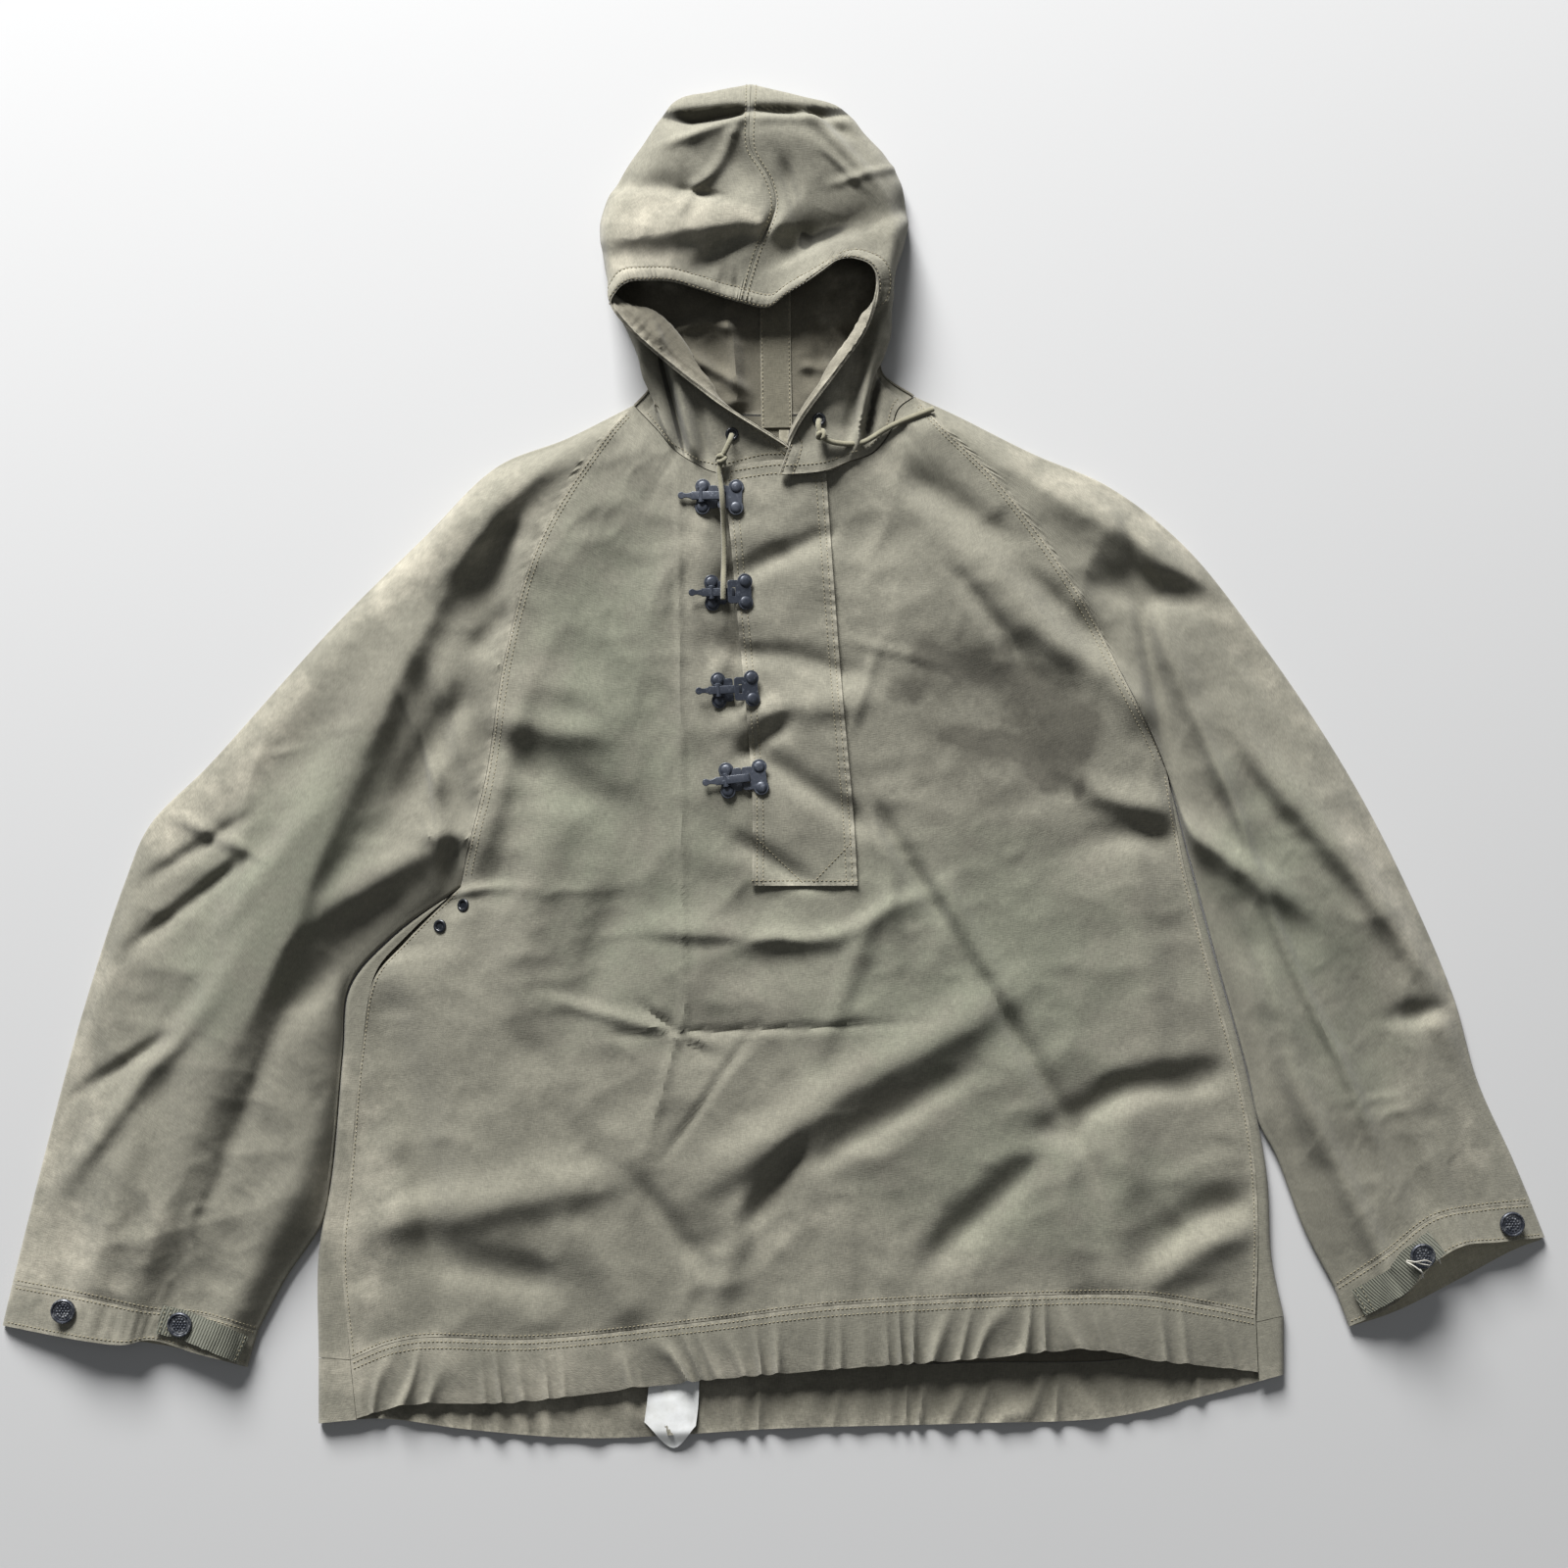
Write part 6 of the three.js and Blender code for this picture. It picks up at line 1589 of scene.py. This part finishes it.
def leverMeshes():
    sideView = [
        (-9, 2.7), (0, 2.9), (5, 3.9), (9, 4.4), (15, 4.4), (16.4, 3.8), (16.8, 2.6), (17.8, 2.6),
        (18.6, 3.6), (18.4, 5.4), (17, 6.3), (14, 6.5), (9, 6.4), (3, 5.6), (-2, 4.7), (-9, 4.2),
    ]
    tipEnd = [(2.9 * cos(a) - 17, 2.9 * sin(a)) for a in np.linspace(0.75, 2 * pi - 0.75, 18)]
    tip = [(-6, 2.9), (-9, 2.6), (-13, 1.7)] + tipEnd + [(-13, -1.7), (-9, -2.6), (-6, -2.9)]
    standing = Matrix.Rotation(pi / 2, 4, "X")
    bar = shifted(cutPlate([sideView], clasp["lever"], 0.5, 3), turn=standing)
    thumb = shifted(cutPlate([tip], 1.5, 0.4, 2), z=3.4)
    barrel = lathed([(0, -5.6), (1.9, -5.6), (2.3, -5.2), (2.3, 5.2), (1.9, 5.6), (0, 5.6)], 20)
    barrel = shifted(barrel, x=-1.0, z=3.0, turn=standing)
    cheek = [(-4.5, 0.3), (3.0, 0.3), (2.2, 4.0), (0.2, 5.0), (-2.6, 4.6)]
    aside = clasp["lever"] / 2 + 0.9
    cheeks = [shifted(cutPlate([cheek], 1.0, 0.25), y=y, turn=standing) for y in (-aside, aside)]
    return [bar, thumb, barrel] + cheeks


footprint = [(a, b) for a in (-6, 0, 6) for b in (-14, -9, -4, 0, 4, 9, 14)]


def seatHeight(surface, x, y, normal):
    return max(surface(x + a, y + b) + (a * normal.x + b * normal.y) / normal.z for a, b in footprint) + 0.2


def frontAt(x, y):
    return heightOn(frontTree, x, y, cloth["neckHeight"])


def flapAt(x, y):
    return heightOn(flapTree, x, y, frontAt(x, y) + flapLook["lift"] + cloth["flap"])


windowShape = [(-10.8, -3.6), (-8.2, -3.6), (-8.2, 3.6), (-10.8, 3.6)]
for k, c in enumerate(clasps):
    angle = radians(c["turn"])
    rightX, rightY = c["x"] + clasp["reach"] * cos(angle), c["y"] + clasp["reach"] * sin(angle)
    normal = slopeAt(frontAt, c["x"], c["y"], 12)
    leverPlace = seatAt((c["x"], c["y"], seatHeight(frontAt, c["x"], c["y"], normal)), normal, c["turn"])
    catchPlace = seatAt((rightX, rightY, seatHeight(flapAt, rightX, rightY, normal)), normal, c["turn"])
    lever, catch = f"clasp_{k + 1}_lever", f"clasp_{k + 1}_catch"
    joinMeshes(f"{lever}_plate", claspPlate(clasp["leverBody"], [], 1) + leverMeshes(), leverPlace,
               "clasp", lever)
    joinMeshes(f"{catch}_plate", claspPlate(clasp["catchBody"], [windowShape], -1), catchPlace,
               "clasp", catch)

buttonSize = {"radius": 10.0, "height": 3.0}
buttons = table("name x y hand rise", [
    ("button_right_outer", -588, -430, "right", 0), ("button_right_tab", -493, -441, "right", 3),
    ("button_left_outer", 594, -359, "left", 0), ("button_left_tab", 521, -385, "left", 13),
])


def buttonMeshes():
    r, h = buttonSize["radius"], buttonSize["height"]
    body = lathed([
        (0, 0), (r - 1.4, 0), (r - 0.4, 0.3), (r, 0.9), (r, h - 1.0), (r - 0.4, h - 0.3), (r - 1.1, h),
        (r - 1.7, h - 0.2), (r - 2.1, h - 0.9), (r - 2.7, h - 1.0), (r - 3.1, h - 0.7), (r - 3.6, h - 1.0),
        (0, h - 1.1),
    ], 56)
    dots = []
    for count, ring in ((1, 0.0), (6, 2.35), (12, 4.7)):
        for k in range(count):
            a = 2 * pi * k / count
            dot = lathed([(0, -0.3), (0.98, -0.3), (0.9, 0.2), (0.55, 0.5), (0, 0.6)], 12)
            dots.append(shifted(dot, ring * cos(a), ring * sin(a), h - 1.0))
    return [body] + dots


for b in buttons:
    reach = buttonSize["radius"]
    under = [(0, 0), (reach, 0), (-reach, 0), (0, reach), (0, -reach)]
    high = max(onCuff(b["hand"], b["x"] + x, b["y"] + y) for x, y in under)
    place = seatAt((b["x"], b["y"], high + 0.5 + b["rise"]), (0, 0, 1), 0)
    joinMeshes(f"{b['name']}_metal", buttonMeshes(), place, "button", b["name"])

eyelet = {"hole": 2.9, "radius": 5.4, "height": 1.2, "seat": 0.7}


def eyeletMesh():
    hole, radius, height = eyelet["hole"], eyelet["radius"], eyelet["height"]
    middle, half = (hole + radius) / 2, (radius - hole) / 2
    arc = np.linspace(0, pi, 12)
    crown = [(middle + half * cos(a), 0.2 + (height - 0.2) * sin(a)) for a in arc]
    # The disc across the bore, in the dark enamel, is painted shade standing for the dark inside the hole.
    return lathed([(0, -0.6), (radius, -0.6)] + crown + [(hole, -0.1), (0, -0.1)], 44)


eyelets = table("node x y under", [
    ("eyelet_body_1", -262, -99, frontTree), ("eyelet_body_2", -281, -116, frontTree),
    ("eyelet_hood_right", -42.4, 285.6, hoodTree["right"]),
    ("eyelet_hood_left", 28.8, 297.6, hoodTree["left"]),
])
for e in eyelets:
    surface = lambda a, b: heightOn(e["under"], a, b, cloth["neckHeight"])
    normal = slopeAt(surface, e["x"], e["y"], eyelet["radius"])
    place = seatAt((e["x"], e["y"], surface(e["x"], e["y"]) + eyelet["seat"]), normal, 0)
    joinMeshes(e["node"] + "_enamel", [eyeletMesh()], place, "eyelet", e["node"])
print("hardware fitted")


# Stitching: one tree lays a stitch at every step along its lines

def stitchTree():
    tree = bpy.data.node_groups.new("stitchRun", "GeometryNodeTree")
    tree.interface.new_socket("Geometry", in_out="OUTPUT", socket_type="NodeSocketGeometry")
    tree.interface.new_socket("Geometry", in_out="INPUT", socket_type="NodeSocketGeometry")
    for label in ("Step", "Length", "Thickness"):
        tree.interface.new_socket(label, in_out="INPUT", socket_type="NodeSocketFloat")
    tree.interface.new_socket("Finish", in_out="INPUT", socket_type="NodeSocketMaterial")
    given = tree.nodes.new("NodeGroupInput").outputs
    def step(kind, links, **settings):
        return addNode(tree, kind, links, **settings).outputs

    run = {"Curve": given["Geometry"], "Length": given["Step"]}
    points = step("GeometryNodeCurveToPoints", run, mode="LENGTH")
    bead = step("GeometryNodeMeshUVSphere", {"Segments": 6, "Rings": 3, "Radius": 0.5})["Mesh"]
    size = step("ShaderNodeCombineXYZ", {0: given["Length"], 1: given["Thickness"], 2: given["Thickness"]})[0]
    stitch = step("GeometryNodeTransform", {"Geometry": bead, "Scale": size})[0]
    turned = step("FunctionNodeAlignRotationToVector", {"Vector": points["Tangent"]}, axis="X")[0]
    placing = {"Points": points["Points"], "Instance": stitch, "Rotation": turned}
    laid = step("GeometryNodeInstanceOnPoints", placing)[0]
    real = step("GeometryNodeRealizeInstances", {"Geometry": laid})[0]
    done = step("GeometryNodeSetMaterial", {"Geometry": real, "Material": given["Finish"]})[0]
    tree.links.new(done, tree.nodes.new("NodeGroupOutput").inputs["Geometry"])
    return tree


stitching = {"Step": 0.0034, "Length": 0.0024, "Thickness": 0.0007}
stitchRun = stitchTree()


def sewn(name, lines):
    data = bpy.data.curves.new(name, "CURVE")
    data.dimensions = "3D"
    for line in lines:
        points = placed(line)
        spline = data.splines.new("POLY")
        spline.points.add(len(points) - 1)
        spline.points.foreach_set("co", np.hstack([points, np.ones((len(points), 1))]).ravel())
    guide = linked(name + "_guide", data)
    modifier = guide.modifiers.new("stitches", "NODES")
    modifier.node_group = stitchRun
    for item in stitchRun.interface.items_tree:
        if item.in_out == "INPUT" and item.name in stitching:
            modifier[item.identifier] = stitching[item.name]
        elif item.in_out == "INPUT" and item.name == "Finish":
            modifier[item.identifier] = materials["thread"]
    mesh = bpy.data.meshes.new_from_object(guide.evaluated_get(bpy.context.evaluated_depsgraph_get()))
    bpy.data.objects.remove(guide)
    mesh.shade_smooth()
    piece = linked(name, mesh)
    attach(piece, "root")
    print(f"{name}: {len(mesh.polygons)} faces")
    return piece


def lineOn(grid, u, v, lift=0.25):  # points on a surface, u across and v down its rows
    rows, columns = grid.shape[0] - 1, grid.shape[1] - 1
    u, v = np.broadcast_arrays(np.asarray(u, float), np.asarray(v, float))
    a, b = np.clip(u, 0, 1) * columns, np.clip(v, 0, 1) * rows
    j, i = np.minimum(a.astype(int), columns - 1), np.minimum(b.astype(int), rows - 1)
    f, g = (a - j)[..., None], (b - i)[..., None]
    above, below = mix(grid[i, j], grid[i, j + 1], f), mix(grid[i + 1, j], grid[i + 1, j + 1], f)
    return mix(above, below, g) + np.array([0, 0, lift])


def linesOn(name, rows):  # each row: u and v shares, one of them a run
    return [lineOn(surfaces[name], u, v) for u, v in rows]


t = np.linspace(0.004, 0.996, 400)
upperRun = np.linspace(cloth["armpitAt"] + 0.01, 0.99, 200)
sideRun = np.linspace(0.01, cloth["armpitAt"] - 0.01, 200)
rowsIn = [aside / bodySize["chest"] for aside in (2.2, 7.0)]
sewn("stitches_raglan", linesOn("front", [(u, upperRun) for u in rowsIn + [1 - u for u in rowsIn]]))
sewn("stitches_sides", linesOn("front", [(0.004, sideRun), (0.996, sideRun)]))
sewn("stitches_hem", linesOn("hem_front", [(t, 0.94), (t, 0.84)]) + linesOn("front", [(t, 0.004)]))
sewn("stitches_flap", linesOn("flap", [
    *((share, t) for share in (0.045, 0.105, 0.955, 0.895)), *((t, share) for share in (0.988, 0.968, 0.012)),
    (0.05 + 0.42 * t, 0.11 - 0.1 * t), (0.95 - 0.36 * t, 0.1 - 0.09 * t),
]))
for hand in ("right", "left"):
    cuffLines = linesOn(f"cuff_{hand}", [(t, 0.07), (t, 0.9)])
    sewn(f"stitches_cuff_{hand}", cuffLines + linesOn(f"sleeve_{hand}", [(t, 0.996)]))
    hood = hoods[hand]
    lifted = hood["outer"] + hood["normals"] * 0.3
    everyRow = np.arange(len(lifted))
    lines = []
    for away in (1.8, hoodLook["casing"] + 0.6):
        lines.append(lifted[everyRow, np.argmin(np.abs(hood["toEdge"] - away), axis=1)])
    for i in (2, hoodLook["rows"] - 3):
        lines.append(lifted[i, hoodLook["floor"] + 12 : -4])
    sewn(f"stitches_hood_{hand}", lines)
sewn("stitches_tape", [tapeGrid[:, k] + np.array([0, 0, 0.3]) for k in (1, -2)])
sewn("stitches_tabs", [tabGrids["right"][k, 2:-2] + np.array([0, 0, 0.4]) for k in (3, 9, -4)]
     + [tabGrids["left"][k, 2:-2] + np.array([0, 0, 0.4]) for k in (3, 9)])
print("stitches sewn")


# Cut sizes of the cloth that shows, measured flat, in metres

cuts = table("piece width length area", [
    ("front_cloth", 0.76, 0.74, 0.435), ("back_cloth", 0.82, 0.76, 0.5),
    ("hem_front_cloth", 0.8, 0.052, 0.04), ("hem_back_cloth", 0.9, 0.052, 0.044),
    ("flap_cloth", 0.09, 0.345, 0.03), ("shield_cloth", 0.145, 0.36, 0.05),
    ("sleeve_right_cloth", 0.5, 0.9, 0.29), ("sleeve_left_cloth", 0.42, 0.75, 0.21),
    ("cuff_right_cloth", 0.4, 0.035, 0.0138), ("cuff_left_cloth", 0.4, 0.035, 0.0138),
    ("hood_right_cloth", 0.33, 0.34, 0.067), ("hood_left_cloth", 0.31, 0.34, 0.057),
    ("hood_facing_right_cloth", 0.05, 0.34, 0.0091), ("hood_facing_left_cloth", 0.05, 0.34, 0.008),
    ("hood_tape_cloth", 0.025, 0.235, 0.0058), ("label_cloth", 0.044, 0.062, 0.0024),
])
for cut in cuts:
    under = ["back_body"] if cut["piece"] != "back_cloth" else ["front_body"]


# Floor and light

studio = {"floor": (0.5, 0.5, 0.5, 1), "sky": (0.9, 0.95, 1.0, 1), "skyStrength": 0.105}
floorMesh = bpy.data.meshes.new("floor")
floorMesh.from_pydata([(-6, -6, 0), (6, -6, 0), (6, 6, 0), (-6, 6, 0)], [], [(0, 1, 2, 3)])
floorMaterial, _, floorShader = newMaterial("paleFloor", 0.8)
floorShader.inputs["Base Color"].default_value = studio["floor"]
floorMesh.materials.append(floorMaterial)
linked("floor", floorMesh)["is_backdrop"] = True

world = bpy.data.worlds.new("studio")
world.use_nodes = True
background = next(node for node in world.node_tree.nodes if node.type == "BACKGROUND")
background.inputs[0].default_value = studio["sky"]
background.inputs[1].default_value = studio["skyStrength"]
bpy.context.scene.world = world

lamps = table("name x y z width height power", [
    ("window", -1.5, 5.1, 2.38, 2.6, 2.1, 1070),
    ("fill", 1.6, -1.8, 2.2, 2.5, 2.5, 4),
    ("top", 0.0, 0.3, 3.2, 2.5, 2.5, 5),
])
for lamp in lamps:
    data = bpy.data.lights.new(lamp["name"], "AREA")
    data.shape = "RECTANGLE"
    data.size, data.size_y, data.energy = lamp["width"], lamp["height"], lamp["power"]
    light = linked(lamp["name"], data)
    light.location = (lamp["x"], lamp["y"], lamp["z"])
    light.rotation_euler = (-Vector(light.location)).to_track_quat("-Z", "Y").to_euler()
bpy.context.scene.view_settings.view_transform = "Standard"

visualBox = [list(corner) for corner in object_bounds()]
